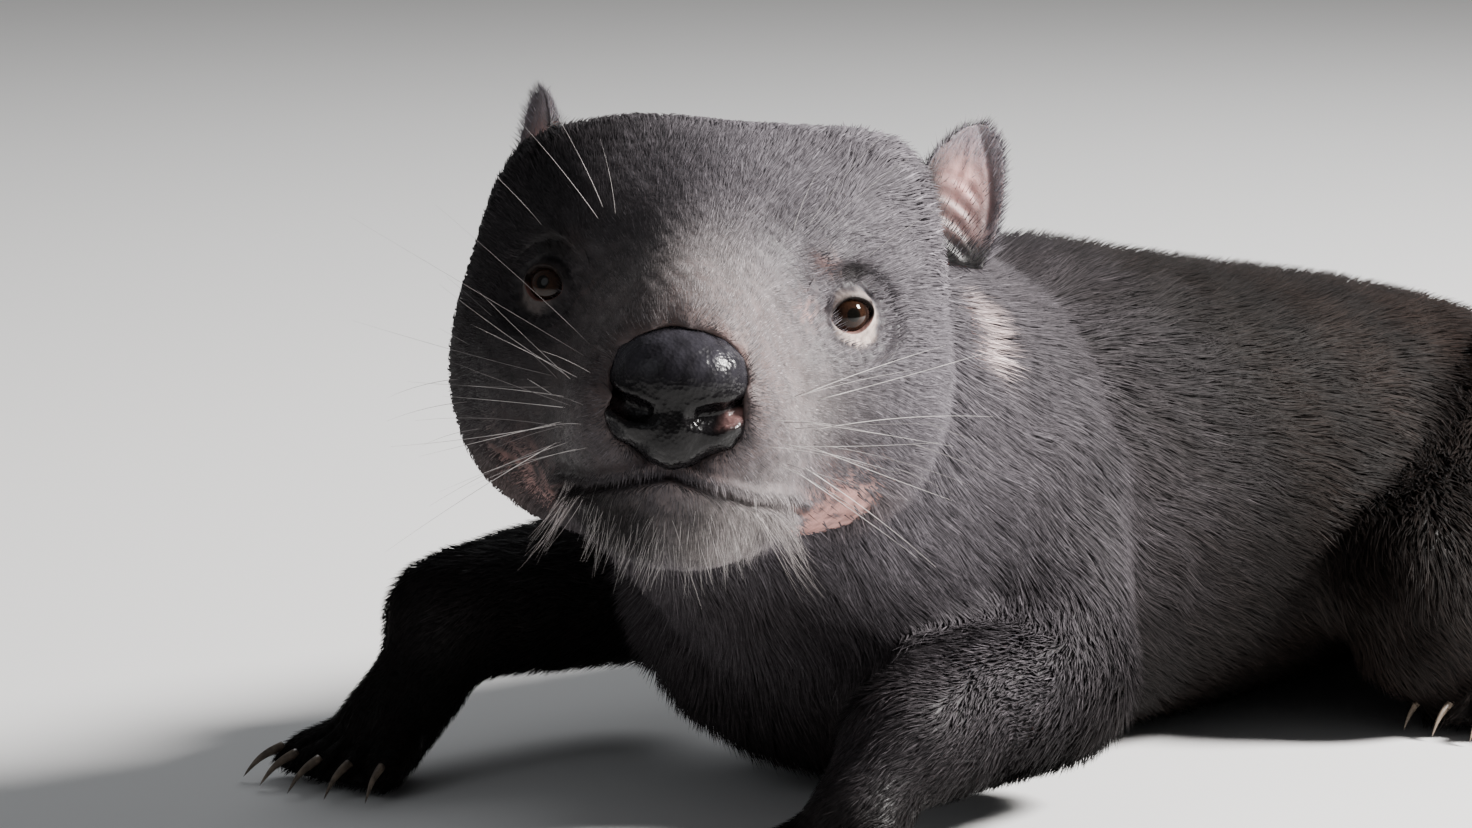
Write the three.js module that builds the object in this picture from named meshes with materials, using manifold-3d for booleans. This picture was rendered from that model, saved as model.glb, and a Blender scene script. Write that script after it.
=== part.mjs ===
// A Tasmanian devil, life size, lying on its chest with its forearms out in front and its head up and turned left.
// Millimetres, +Z up. The spine runs along +Y towards the tail, and the animal's left side is +X.
// Body places are given from the point on the floor midway between the shoulders, and head places from the
// point midway between the eyes: x to the animal's left, y back towards the neck, z up.
import * as THREE from "three";
import { mergeVertices } from "three/addons/utils/BufferGeometryUtils.js";
import Module from "manifold-3d";

const wasm = await Module();
wasm.setup();

// Overall dimensions
const BOX_MIDDLE = [-0.6, 169.6]; // from the shoulders to the middle of the whole animal
const GAP = 0.35; // left between neighbouring pieces
const BACK_HEIGHT = 150; // withers above the floor
const TORSO_LENGTH = 335; // shoulders to the end of the rump
const CHEST_HALF_WIDTH = 74;
const HEAD_PLACE = [58, -149, 158]; // the point midway between the eyes
const HEAD_YAW = 38.6; // degrees to the animal's left
const HEAD_PITCH = 7; // nose up
const HEAD_ROLL = 5; // crown leaning to the animal's left
const HEAD_HALF_WIDTH = 71; // over the jaw muscles
const CROWN_HEIGHT = 49; // above the eyes
const CHIN_DEPTH = 74; // below the eyes
const EYE_RADIUS = 7.5;
const EYE_PLACE = [30.5, 8, -2.2]; // behind the left eye, which looks out from there
const EYE_SINK = 5.6; // the middle of an eyeball below the fur round it
const EYE_GAZE = [0.62, -0.78, 0.08]; // the way the left eye looks
const EAR_HEIGHT = 36;
const EAR_HALF_WIDTH = 19;
const TAIL_LENGTH = 235;

const vec = (p) => new THREE.Vector3(...p);
const mirrored = (p, side) => [p[0] * side, p[1], p[2]];
const SIDES = [
  ["left", 1],
  ["right", -1],
];

// Distance fields. Each takes a point and gives about how far outside the form it lies.

function ellipsoid(middle, radii, turn = 0) {
  const [c, s] = [Math.cos(turn), Math.sin(turn)];
  return (p) => {
    const [dx, dy] = [p.x - middle[0], p.y - middle[1]];
    const x = (c * dx + s * dy) / radii[0];
    const y = (c * dy - s * dx) / radii[1];
    const z = (p.z - middle[2]) / radii[2];
    const near = Math.hypot(x, y, z);
    const slope = Math.hypot(x / radii[0], y / radii[1], z / radii[2]);
    return slope ? (near * (near - 1)) / slope : -Math.min(...radii);
  };
}

function taperedRod(from, to, fromRadius, toRadius) {
  const [a, along] = [vec(from), vec(to).sub(vec(from))];
  const length2 = along.lengthSq();
  const offset = new THREE.Vector3();
  return (p) => {
    offset.copy(p).sub(a);
    const t = THREE.MathUtils.clamp(offset.dot(along) / length2, 0, 1);
    return offset.addScaledVector(along, -t).length() - THREE.MathUtils.lerp(fromRadius, toRadius, t);
  };
}

const softMin = (a, b, k) => Math.min(a, b) - Math.max(k - Math.abs(a - b), 0) ** 2 / (4 * k);
const blend = (k, ...fields) => (p) => fields.map((f) => f(p)).reduce((a, b) => softMin(a, b, k));
const bothSides = (field) => {
  const q = new THREE.Vector3();
  return (p) => field(q.set(Math.abs(p.x), p.y, p.z));
};

// Solids

function geometryOf(points, faces) {
  const geometry = new THREE.BufferGeometry();
  geometry.setAttribute("position", new THREE.Float32BufferAttribute(points.flatMap((p) => [p.x, p.y, p.z]), 3));
  geometry.setIndex(faces);
  return geometry;
}

// A closed surface through rings of points, which all have as many, and a point beyond each end.
function ringed(first, rings, last) {
  const n = rings[0].length;
  const points = [first, ...rings.flat(), last];
  const at = (row, i) => 1 + row * n + (i % n);
  const faces = [];
  for (let i = 0; i < n; i++) {
    faces.push(0, at(0, i + 1), at(0, i));
    faces.push(points.length - 1, at(rings.length - 1, i), at(rings.length - 1, i + 1));
    for (let row = 0; row + 1 < rings.length; row++) {
      faces.push(at(row, i), at(row, i + 1), at(row + 1, i + 1));
      faces.push(at(row, i), at(row + 1, i + 1), at(row + 1, i));
    }
  }
  return geometryOf(points, faces);
}

// The outermost point where a field falls to offset on the ray from start.
function surfacePoint(field, start, direction, reach, offset) {
  const STEP = 2;
  const HALVINGS = 12;
  const p = new THREE.Vector3();
  const outside = (s) => field(p.copy(start).addScaledVector(direction, s)) > offset;
  let far = reach;
  while (far > STEP && outside(far - STEP)) far -= STEP;
  let near = Math.max(far - STEP, 0);
  for (let i = 0; i < HALVINGS; i++) {
    const middle = (near + far) / 2;
    if (outside(middle)) far = middle;
    else near = middle;
  }
  return start.clone().addScaledVector(direction, (near + far) / 2);
}

// The surface of a field, met by rings of rays that leave a curved axis, with a fan of rays round each end of it.
// spacing bends the stations towards one end of the axis.
function skinOf(field, axis, { around, along, cap = 4, reach = 140, offset = 0, spacing = (t) => t }) {
  const curve = new THREE.CatmullRomCurve3(axis.map(vec));
  const up = new THREE.Vector3(0, 0, 1);
  const cast = (t, tilt, turn) => {
    const start = curve.getPointAt(t);
    const tangent = curve.getTangentAt(t);
    const side = new THREE.Vector3().crossVectors(up, tangent).normalize();
    const top = new THREE.Vector3().crossVectors(tangent, side);
    const out = side.multiplyScalar(Math.cos(turn)).addScaledVector(top, Math.sin(turn));
    const direction = out.multiplyScalar(Math.cos(tilt)).addScaledVector(tangent, Math.sin(tilt));
    return surfacePoint(field, start, direction, reach, offset);
  };
  const ring = (t, tilt) => Array.from({ length: around }, (_, i) => cast(t, tilt, (2 * Math.PI * i) / around));
  const tilts = Array.from({ length: cap - 1 }, (_, i) => ((i + 1) / cap) * (Math.PI / 2));
  const rings = [
    ...tilts.toReversed().map((tilt) => ring(0, -tilt)),
    ...Array.from({ length: along + 1 }, (_, i) => ring(spacing(i / along), 0)),
    ...tilts.map((tilt) => ring(1, tilt)),
  ];
  return ringed(cast(0, -Math.PI / 2, 0), rings, cast(1, Math.PI / 2, 0));
}

// A tube of round sections along a few points, drawn to a point at its far end.
function taperedTube(points, radii, { sides = 7, steps = 5 }) {
  const curve = new THREE.CatmullRomCurve3(points.map(vec));
  const up = new THREE.Vector3(0, 0, 1);
  const radiusAt = (t) => {
    const s = t * (radii.length - 1);
    const i = Math.min(Math.floor(s), radii.length - 2);
    return THREE.MathUtils.lerp(radii[i], radii[i + 1], s - i);
  };
  const rings = Array.from({ length: steps }, (_, k) => {
    const t = k / steps;
    const middle = curve.getPointAt(t);
    const tangent = curve.getTangentAt(t);
    const side = new THREE.Vector3().crossVectors(up, tangent).normalize();
    const top = new THREE.Vector3().crossVectors(tangent, side);
    return Array.from({ length: sides }, (_, i) => {
      const turn = (2 * Math.PI * i) / sides;
      const out = side.clone().multiplyScalar(Math.cos(turn)).addScaledVector(top, Math.sin(turn));
      return middle.clone().addScaledVector(out, radiusAt(t));
    });
  });
  return ringed(curve.getPointAt(0), rings, curve.getPointAt(1));
}

function solidOf(geometry, matrix = new THREE.Matrix4()) {
  const bare = new THREE.BufferGeometry();
  const source = geometry.index ? geometry.toNonIndexed() : geometry;
  bare.setAttribute("position", source.getAttribute("position").clone());
  const merged = mergeVertices(bare.applyMatrix4(matrix), 1e-4);
  return new wasm.Manifold(
    new wasm.Mesh({
      numProp: 3,
      vertProperties: new Float32Array(merged.attributes.position.array),
      triVerts: new Uint32Array(merged.index.array),
    }),
  );
}

const joined = (...solids) => solids.reduce((a, b) => a.add(b));
const cutBy = (solid, ...tools) => tools.reduce((a, b) => a.subtract(b), solid);
const largest = (solid) => solid.decompose().reduce((a, b) => (b.volume() > a.volume() ? b : a));

function geometryFrom(solid, matrix) {
  const mesh = solid.getMesh();
  const geometry = new THREE.BufferGeometry();
  const positions = new Float32Array(mesh.numVert * 3);
  for (let i = 0; i < mesh.numVert; i++) {
    positions.set(mesh.vertProperties.subarray(i * mesh.numProp, i * mesh.numProp + 3), i * 3);
  }
  geometry.setAttribute("position", new THREE.BufferAttribute(positions, 3));
  geometry.setIndex(new THREE.BufferAttribute(new Uint32Array(mesh.triVerts), 1));
  return geometry.applyMatrix4(matrix);
}

// Materials
const paint = (color, roughness) => new THREE.MeshStandardMaterial({ color, roughness, metalness: 0 });
const coat = paint(0x1b191b, 0.75);
const earSkin = paint(0x6b4a48, 0.6);
const noseSkin = paint(0x17161a, 0.25);
const eyeDark = paint(0x2a160c, 0.05);
const pawSkin = paint(0x2a2524, 0.7);
const horn = paint(0x8c8073, 0.4);

// The scene graph: everything hangs on the body, and the head's pieces on a turned group of their own.
const body = new THREE.Group();
body.position.set(-BOX_MIDDLE[0], -BOX_MIDDLE[1], 0);
const headGroup = new THREE.Group();
headGroup.position.set(...HEAD_PLACE);
headGroup.rotation.set(
  THREE.MathUtils.degToRad(-HEAD_PITCH),
  THREE.MathUtils.degToRad(HEAD_ROLL),
  THREE.MathUtils.degToRad(HEAD_YAW),
  "ZXY",
);
headGroup.updateMatrix();
const headMatrix = headGroup.matrix.clone();
body.add(headGroup);

const floorBlock = solidOf(new THREE.BoxGeometry(2000, 2000, 200).translate(0, 0, -100));

// Adds a solid made in body places as a mesh that turns about its own joint, on the body or in the head's group.
function addPiece(name, solid, joint, material) {
  const kept = largest(cutBy(solid, floorBlock));
  const geometry = geometryFrom(kept, new THREE.Matrix4().makeTranslation(-joint[0], -joint[1], -joint[2]));
  const mesh = new THREE.Mesh(geometry, material);
  mesh.name = name;
  mesh.position.set(...joint);
  body.add(mesh);
}

function addHeadPiece(name, solid, joint, material) {
  const geometry = geometryFrom(largest(solid), new THREE.Matrix4().makeTranslation(-joint[0], -joint[1], -joint[2]));
  const mesh = new THREE.Mesh(geometry, material);
  mesh.name = name;
  mesh.position.set(...joint);
  headGroup.add(mesh);
}

// Torso: rib cage, brisket, withers, loin and rump, blended into one form that is highest at the withers.
const torsoField = blend(
  36,
  ellipsoid([0, 50, BACK_HEIGHT / 2 - 3], [CHEST_HALF_WIDTH - 3, 116, BACK_HEIGHT / 2 - 3]),
  ellipsoid([2, -32, 65], [60, 64, 60]),
  ellipsoid([0, 22, 104], [44, 78, 42]),
  ellipsoid([0, 150, 66], [CHEST_HALF_WIDTH - 5, 112, 66]),
  ellipsoid([0, TORSO_LENGTH - 84, 56], [60, 78, 53]),
);
const TORSO_AXIS = [
  [0, -20, 68],
  [0, 110, 66],
  [0, TORSO_LENGTH - 80, 56],
];
const torsoShape = { around: 28, along: 14, cap: 5 };
const torso = solidOf(skinOf(torsoField, TORSO_AXIS, torsoShape));
const torsoClear = solidOf(skinOf(torsoField, TORSO_AXIS, { ...torsoShape, offset: GAP }));

// Head: a broad wedge, as wide as it is long, with swollen jaw muscles and a short blunt muzzle.
const headField = blend(
  14,
  ellipsoid([0, 38, 5], [50, 48, CROWN_HEIGHT - 7]),
  bothSides(ellipsoid([24, 40, 15], [30, 40, CROWN_HEIGHT - 18])),
  ellipsoid([42, 42, 25], [17, 22, 24]),
  ellipsoid([-46, 44, 20], [15, 22, 20]),
  bothSides(ellipsoid([36, 36, -20], [HEAD_HALF_WIDTH - 38, 44, 44])),
  ellipsoid([0, 24, -34], [48, 58, CHIN_DEPTH - 36]),
  taperedRod([0, 12, -6], [0, -38, -20], 36, 22),
  bothSides(ellipsoid([11, -36, -29], [17, 24, 14])),
  ellipsoid([0, -20, -50], [26, 32, CHIN_DEPTH - 53]),
  taperedRod([0, 12, 20], [0, -42, -9], 18, 12),
  bothSides(ellipsoid([27, 12, 18], [16, 19, 11])),
  bothSides(ellipsoid([38, 12, -19], [18, 26, 13])),
);
const HEAD_AXIS = [
  [0, 46, -6],
  [0, 10, -14],
  [0, -30, -30],
];
const headShape = { around: 38, along: 14, cap: 6, reach: 96 };
const headSkin = skinOf(headField, HEAD_AXIS, headShape);
const headClear = solidOf(skinOf(headField, HEAD_AXIS, { ...headShape, offset: GAP }));
const headClearInBody = solidOf(skinOf(headField, HEAD_AXIS, { ...headShape, offset: GAP }), headMatrix);

// An upright frame whose z axis points along a direction.
function facing(place, direction) {
  const z = vec(direction).normalize();
  const x = new THREE.Vector3(0, 0, 1).cross(z).normalize();
  const y = new THREE.Vector3().crossVectors(z, x);
  return new THREE.Matrix4().makeBasis(x, y, z).setPosition(...place);
}

// The slit between the lids: two arcs that meet at the corners of the eye, drawn through along the gaze.
const LID_THICKNESS = 1.5;
const SLIT_HALF_WIDTH = 5.4;
const SLIT_UP = 4.2;
const SLIT_DOWN = 3.6;
function lidOpening() {
  const slit = new THREE.Shape();
  slit.moveTo(-SLIT_HALF_WIDTH, 0);
  slit.quadraticCurveTo(0, 2 * SLIT_UP, SLIT_HALF_WIDTH, 0.8);
  slit.quadraticCurveTo(0, -2 * SLIT_DOWN, -SLIT_HALF_WIDTH, 0);
  return new THREE.ExtrudeGeometry(slit, { depth: 3 * EYE_RADIUS, bevelEnabled: false, curveSegments: 7 });
}
const ball = (radius) => new THREE.SphereGeometry(radius, 16, 10);

// The line of the mouth: from one corner, forward under the nose, to the other.
const MOUTH_LINE = [
  [40, -6, -54],
  [33, -22, -50.5],
  [21, -42, -50],
  [10, -53, -47],
];
const MOUTH_MIDDLE = [0, -57, -44.5];
const MOUTH_GROOVE = 1.7;
function mouthGroove() {
  const mouthPoint = (p) => {
    const start = new THREE.Vector3(0, p[1] * 0.4, p[2]);
    const direction = vec(p).sub(start).normalize();
    return surfacePoint(headField, start, direction, 96, -0.2).toArray();
  };
  const half = MOUTH_LINE.map(mouthPoint);
  const middle = mouthPoint(MOUTH_MIDDLE);
  const points = [...half, middle, ...half.toReversed().map((p) => mirrored(p, -1))];
  const rims = points.map((_, i) => (i === 0 ? 0.5 : MOUTH_GROOVE));
  return solidOf(taperedTube(points, rims, { sides: 6, steps: 22 }));
}

// Nose pad: a broad dome over two nostril wings, in front of the muzzle.
const noseField = blend(
  4,
  ellipsoid([0, -51.5, -20], [17.8, 14, 13.5]),
  bothSides(ellipsoid([12, -53.5, -31.5], [6.6, 8.8, 6])),
  ellipsoid([0, -54.5, -34], [10, 9.5, 9.5]),
);
const NOSE_AXIS = [
  [0, -48, -24],
  [0, -54, -25],
];
const noseShape = { around: 20, along: 2, cap: 6, reach: 40 };
const noseSolid = solidOf(skinOf(noseField, NOSE_AXIS, noseShape));
const noseClear = solidOf(skinOf(noseField, NOSE_AXIS, { ...noseShape, offset: GAP }));
// A nostril: a comma that opens between the dome and the wing and runs out to the side of the pad.
const NOSTRIL_LINE = [
  [6.5, -64, -29.5],
  [10.5, -62, -29],
  [14.5, -60, -27.5],
  [18, -55, -25],
  [19, -49, -22],
];
function nostril(side) {
  const onPad = (p) => {
    const start = new THREE.Vector3(0, -48, -26);
    return surfacePoint(noseField, start, vec(p).sub(start).normalize(), 40, -0.6).toArray();
  };
  const points = NOSTRIL_LINE.map((p) => mirrored(onPad(p), side));
  return solidOf(taperedTube(points, [2.2, 2.7, 2.2, 1.5, 0.9], { sides: 6, steps: 9 }));
}
addHeadPiece("nose_pad", cutBy(noseSolid, nostril(1), nostril(-1)), [0, -52, -24], noseSkin);

// Eyes and the head that holds them
let head = solidOf(headSkin);
for (const [name, side] of SIDES) {
  const way = vec(mirrored(EYE_GAZE, side)).normalize();
  const surface = surfacePoint(headField, vec(mirrored(EYE_PLACE, side)), way, 60, 0);
  const place = surface.addScaledVector(way, -EYE_SINK).toArray();
  const gaze = facing(place, way.toArray());
  const eyeball = solidOf(ball(EYE_RADIUS), gaze);
  const lids = solidOf(ball(EYE_RADIUS + LID_THICKNESS), gaze);
  head = joined(head, lids);
  head = cutBy(head, solidOf(ball(EYE_RADIUS + GAP), gaze), solidOf(lidOpening(), gaze));
  addHeadPiece(`eye_${name}`, eyeball, place, eyeDark);
}
head = cutBy(head, noseClear, mouthGroove());
addHeadPiece("head", head, [0, 30, -10], coat);

// Neck: from behind the jaws down into the chest
const headPoint = (p) => vec(p).applyMatrix4(headMatrix).toArray();
const NECK_HEAD_END = headPoint([0, 52, -14]);
const NECK_CHEST_END = [14, -14, 94];
const neckField = blend(
  24,
  taperedRod(NECK_HEAD_END, NECK_CHEST_END, 56, 63),
  taperedRod(headPoint([0, 46, -36]), [16, -46, 52], 36, 40),
);
const neckShape = { around: 24, along: 4, cap: 3 };
const neck = solidOf(skinOf(neckField, [NECK_HEAD_END, NECK_CHEST_END], neckShape));
const neckRoom = skinOf(neckField, [NECK_HEAD_END, NECK_CHEST_END], { ...neckShape, offset: GAP });
const neckClear = solidOf(neckRoom);
const neckClearInHead = solidOf(neckRoom, headMatrix.clone().invert());
addPiece("torso", torso, TORSO_AXIS[1], coat);
addPiece("neck", cutBy(neck, headClearInBody, torsoClear), NECK_CHEST_END, coat);

// Ears: a cupped leaf with a thick base. u runs across it from -1 to 1 and v up it from 0 to 1.
const EAR_PLACES = {
  left: { base: [63, 46, 24], up: [0.12, 0.22, 0.97], face: [0.66, -0.74, 0.1] },
  right: { base: [-52, 47, 22], up: [0.02, 0.2, 0.98], face: [-0.93, -0.35, 0.1] },
};
const EAR_LEAN = 4; // the tip stands over the hind edge
function earGeometry(side) {
  const [ACROSS, UP] = [10, 9];
  const RIM = 0.7;
  const halfWidth = (v) => EAR_HALF_WIDTH * (1 - v) ** 0.62 * (0.7 + 1.1 * v - 0.3 * v * v);
  const leaf = (u, v, face) => {
    const w = halfWidth(v);
    const cup = (0.62 - 0.3 * v) * EAR_HALF_WIDTH;
    const thickness = RIM + 2.4 * (1 - u * u) * (1 - v) ** 0.8 + 0.5 * (1 - v);
    const back = -cup * (1 - u * u) * (w / EAR_HALF_WIDTH);
    return new THREE.Vector3(u * w + side * EAR_LEAN * v * v, EAR_HEIGHT * (v - 0.2) * 1.1, back + face * thickness);
  };
  const rings = [];
  for (let j = 0; j < UP; j++) {
    const v = (j / UP) ** 0.85;
    const front = Array.from({ length: ACROSS + 1 }, (_, i) => leaf((2 * i) / ACROSS - 1, v, 1));
    const behind = Array.from({ length: ACROSS + 1 }, (_, i) => leaf(1 - (2 * i) / ACROSS, v, -1));
    rings.push([...front, ...behind]);
  }
  const middleOf = (v) => leaf(0, v, 1).add(leaf(0, v, -1)).multiplyScalar(0.5);
  return ringed(middleOf(0), rings, middleOf(1));
}
for (const [name, side] of SIDES) {
  const { base, up, face } = EAR_PLACES[name];
  const y = vec(up).normalize();
  const x = new THREE.Vector3().crossVectors(y, vec(face)).normalize();
  const z = new THREE.Vector3().crossVectors(x, y);
  const matrix = new THREE.Matrix4().makeBasis(x, y, z).setPosition(...base);
  addHeadPiece(`ear_${name}`, cutBy(solidOf(earGeometry(side), matrix), headClear, neckClearInHead), base, earSkin);
}

// Tail: thick at its root, laid on the floor behind
const TAIL_LINE = [
  [0, TORSO_LENGTH - 45, 46],
  [1, TORSO_LENGTH + 5, 34],
  [4, TORSO_LENGTH + 60, 18.5],
  [9, TORSO_LENGTH + 120, 10.5],
  [14, TORSO_LENGTH + TAIL_LENGTH - 60, 6.6],
  [17, TORSO_LENGTH + TAIL_LENGTH - 20, 3.4],
];
const tail = solidOf(taperedTube(TAIL_LINE, [27, 25, 20, 15, 11, 7, 4], { sides: 14, steps: 18 }));
addPiece("tail", cutBy(tail, torsoClear), TAIL_LINE[1], coat);

// A limb piece is a tapered rod whose skin is cast from its own middle line.
function limbSolid(from, to, radii, { around, along, offset = 0, field }) {
  const shape = field ?? taperedRod(from, to, ...radii);
  return solidOf(skinOf(shape, [from, to], { around, along, cap: 3, reach: 90, offset }));
}

// A row of toes that fan out from the front of a foot, each with a claw of its own.
function toeLine({ middle, heading, count, spread, fan, reach, bend, height }) {
  const forward = new THREE.Vector3(Math.sin(heading), -Math.cos(heading), 0);
  const across = new THREE.Vector3(Math.cos(heading), Math.sin(heading), 0);
  return Array.from({ length: count }, (_, i) => {
    const u = (2 * i) / (count - 1) - 1;
    const turn = u * fan;
    const way = forward.clone().multiplyScalar(Math.cos(turn)).addScaledVector(across, Math.sin(turn));
    const root = vec(middle).addScaledVector(across, u * spread);
    const length = reach * (1 - 0.16 * u * u);
    const knuckle = root.clone().addScaledVector(way, length * 0.5).setZ(height + bend);
    const tip = root.clone().addScaledVector(way, length).setZ(height);
    return { root, knuckle, tip, way };
  });
}

const CLAW_LIFT = 0.5; // the lowest point of a claw above the floor
function clawSolid({ tip, way }, length, radius) {
  const start = tip.clone().addScaledVector(way, -2).setZ(tip.z + 1.5);
  const middle = start.clone().addScaledVector(way, length * 0.55).setZ(tip.z + 1);
  const end = start.clone().addScaledVector(way, length).setZ(CLAW_LIFT + 0.6);
  const points = [start, middle, end].map((p) => p.toArray());
  return solidOf(taperedTube(points, [radius, radius * 0.8, 0.5], { sides: 5, steps: 2 }));
}

const TOE_RADIUS = 6.4;
function toeSolid({ root, knuckle, tip, way }, radius, offset = 0) {
  const beyond = tip.clone().addScaledVector(way, radius + offset);
  const points = [root, knuckle, tip, beyond].map((p) => p.toArray());
  const radii = [radius, radius, radius * 0.92, radius * 0.62].map((r) => r + offset);
  return solidOf(taperedTube(points, radii, { sides: 7, steps: 4 }));
}

// Builds a foot with its toes and claws, cut clear of the limb piece that it grows from.
function addFoot(name, { heel, ball: footBall, radii, toes, toeRadius, claw }, root, clear) {
  const forms = toeLine(toes);
  const sole = limbSolid(heel, footBall, radii, { around: 12, along: 4 });
  const foot = joined(sole, ...forms.map((toe) => toeSolid(toe, toeRadius)));
  const claws = forms.map((toe) => clawSolid(toe, claw.length, claw.radius));
  addPiece(name, cutBy(foot, ...clear), root, pawSkin);
  const footClear = joined(...forms.map((toe) => toeSolid(toe, toeRadius, GAP)));
  claws.forEach((solid, i) => {
    addPiece(`claw_${name}_${i + 1}`, cutBy(solid, footClear), forms[i].tip.toArray(), horn);
  });
}

// Forelimbs: elbows out beside the chest, forearms forward, and the paws flat in front
const FORELIMBS = {
  left: { shoulder: [42, -4, 90], elbow: [68, -14, 38], wrist: [84, -96, 34], heading: 8 },
  right: { shoulder: [-48, -12, 88], elbow: [-86, -8, 47], wrist: [-97, -88, 44], heading: -2 },
};
for (const [name, side] of SIDES) {
  const { shoulder, elbow, wrist, heading } = FORELIMBS[name];
  const turn = THREE.MathUtils.degToRad(heading);
  const upperField = blend(
    20,
    taperedRod(shoulder, elbow, 34, 27),
    ellipsoid([shoulder[0], shoulder[1], 88], [25, 38, 38]),
  );
  const upper = (offset) => limbSolid(shoulder, elbow, [], { around: 18, along: 6, field: upperField, offset });
  const fore = (offset) => limbSolid(elbow, wrist, [28, 20], { around: 14, along: 6, offset });
  addPiece(`upper_arm_${name}`, cutBy(upper(0), torsoClear, neckClear), elbow, coat);
  addPiece(`forearm_${name}`, cutBy(fore(0), upper(GAP), torsoClear, neckClear), elbow, coat);
  const forward = [Math.sin(turn), -Math.cos(turn)];
  const palm = [wrist[0] + forward[0] * 26, wrist[1] + forward[1] * 26, 13.6];
  addFoot(
    `forepaw_${name}`,
    {
      heel: [wrist[0], wrist[1] - 2, 34],
      ball: palm,
      radii: [15, 14.5],
      toes: { middle: [palm[0], palm[1] - 2, 11], heading: turn, count: 5, spread: 13, fan: 0.42, reach: 22, bend: 4, height: 5.2 },
      toeRadius: TOE_RADIUS,
      claw: { length: 15, radius: 2.5 },
    },
    wrist,
    [fore(GAP), torsoClear],
  );
}

// Hind limbs: folded, the knee beside the belly and the foot flat under the thigh
for (const [name, side] of SIDES) {
  const at = (p) => mirrored(p, side);
  const [hip, knee] = [at([38, 238, 58]), at([80, 136, 48])];
  const [shin, ankle] = [at([86, 138, 34]), at([90, 228, 24])];
  const [heel, instep] = [at([93, 226, 14]), at([101, 164, 12])];
  const thighField = blend(
    18,
    taperedRod(hip, knee, 44, 28),
    ellipsoid(at([46, 222, 56]), [42, 60, 50]),
  );
  const thigh = (offset) => limbSolid(hip, knee, [], { around: 20, along: 7, field: thighField, offset });
  const shank = (offset) => limbSolid(shin, ankle, [25, 15], { around: 14, along: 6, offset });
  addPiece(`thigh_${name}`, cutBy(thigh(0), torsoClear), hip, coat);
  addPiece(`shank_${name}`, cutBy(shank(0), thigh(GAP), torsoClear), knee, coat);
  addFoot(
    `hindfoot_${name}`,
    {
      heel,
      ball: instep,
      radii: [13.5, 13],
      toes: {
        middle: [instep[0], instep[1] - 2, 10],
        heading: side * 0.1,
        count: 4,
        spread: 11,
        fan: 0.25,
        reach: 22,
        bend: 3.5,
        height: 5.6,
      },
      toeRadius: TOE_RADIUS,
      claw: { length: 13, radius: 2.4 },
    },
    ankle,
    [thigh(GAP), shank(GAP), torsoClear],
  );
}

export default body;
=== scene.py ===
import math

import bmesh
import bpy
import numpy as np
from mathutils import Matrix, Vector
from mathutils.bvhtree import BVHTree


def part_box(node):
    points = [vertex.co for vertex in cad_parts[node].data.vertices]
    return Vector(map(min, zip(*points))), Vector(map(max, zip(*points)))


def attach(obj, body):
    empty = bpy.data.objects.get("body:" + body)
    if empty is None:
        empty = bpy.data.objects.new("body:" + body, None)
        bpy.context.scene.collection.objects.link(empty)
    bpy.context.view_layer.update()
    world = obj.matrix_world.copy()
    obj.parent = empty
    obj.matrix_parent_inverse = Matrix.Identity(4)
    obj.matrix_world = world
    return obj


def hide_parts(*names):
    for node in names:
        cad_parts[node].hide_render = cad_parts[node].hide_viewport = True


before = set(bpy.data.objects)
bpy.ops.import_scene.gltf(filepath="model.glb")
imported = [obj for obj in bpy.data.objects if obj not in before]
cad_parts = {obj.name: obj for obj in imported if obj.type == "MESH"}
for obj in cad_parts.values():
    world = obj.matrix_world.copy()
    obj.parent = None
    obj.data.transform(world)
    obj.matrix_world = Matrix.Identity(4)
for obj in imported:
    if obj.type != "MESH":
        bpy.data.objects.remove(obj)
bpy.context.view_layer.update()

# A Tasmanian devil lying on its chest, in metres. Head places are given from the point midway between the
# eyes: x to the animal's left, y back towards the neck, z up. Body places are the frame's own.
MM = 0.001
BODY = "root"
SIDES = (("left", 1), ("right", -1))
BOX_MIDDLE = Vector((-0.6, 169.6, 0)) * MM
HEAD_PLACE = Vector((58, -149, 158)) * MM - BOX_MIDDLE
HEAD_YAW, HEAD_PITCH, HEAD_ROLL = math.radians(38.6), math.radians(7), math.radians(5)
HEAD_TURN = (
    Matrix.Rotation(HEAD_YAW, 3, "Z") @ Matrix.Rotation(-HEAD_PITCH, 3, "X") @ Matrix.Rotation(HEAD_ROLL, 3, "Y")
)
HEAD = np.array(HEAD_TURN)
HEAD_ORIGIN = np.array(HEAD_PLACE)
FLOOR_GAP = 0.0003  # tufts stay this far above the floor
SKIN_FLOOR_GAP = 0.0004  # and skin and claws this far
SKIN_VOXEL, NOSE_VOXEL, EAR_VOXEL = 0.0028, 0.00055, 0.0006
NODE_GROWTH = 0.0006  # how much the CAD parts grow before they are joined
FOOT_MARGIN = 0.004
ROOT_DEPTH = 0.0004  # how far a hair starts below the skin
COAT_SEED, STRAND_SEED = 7, 19
FACES_IN_PIECE = 196000  # the most faces in one coat piece
TONE_SPREAD = 0.34  # how much tufts differ in tone
LID_HAIR_FROM, LID_HAIR_TO, BARE_ROUND_EYE = 7.2, 13.4, 12.6


def to_head(points):
    """Row places to head places in millimetres."""
    return (np.asarray(points) - HEAD_ORIGIN) @ HEAD / MM


def from_head(points):
    return np.asarray(points, dtype=float) * MM @ HEAD.T + HEAD_ORIGIN


def smooth(low, high, x):
    t = np.clip((x - low) / (high - low), 0, 1)
    return t * t * (3 - 2 * t)


def along_surface(ways, normals):
    """Directions turned to lie in the surface."""
    return unit(ways - np.sum(ways * normals, axis=1)[:, None] * normals)


def unit(v):
    return v / np.maximum(np.linalg.norm(v, axis=-1, keepdims=True), 1e-12)


# Mesh helpers


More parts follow.
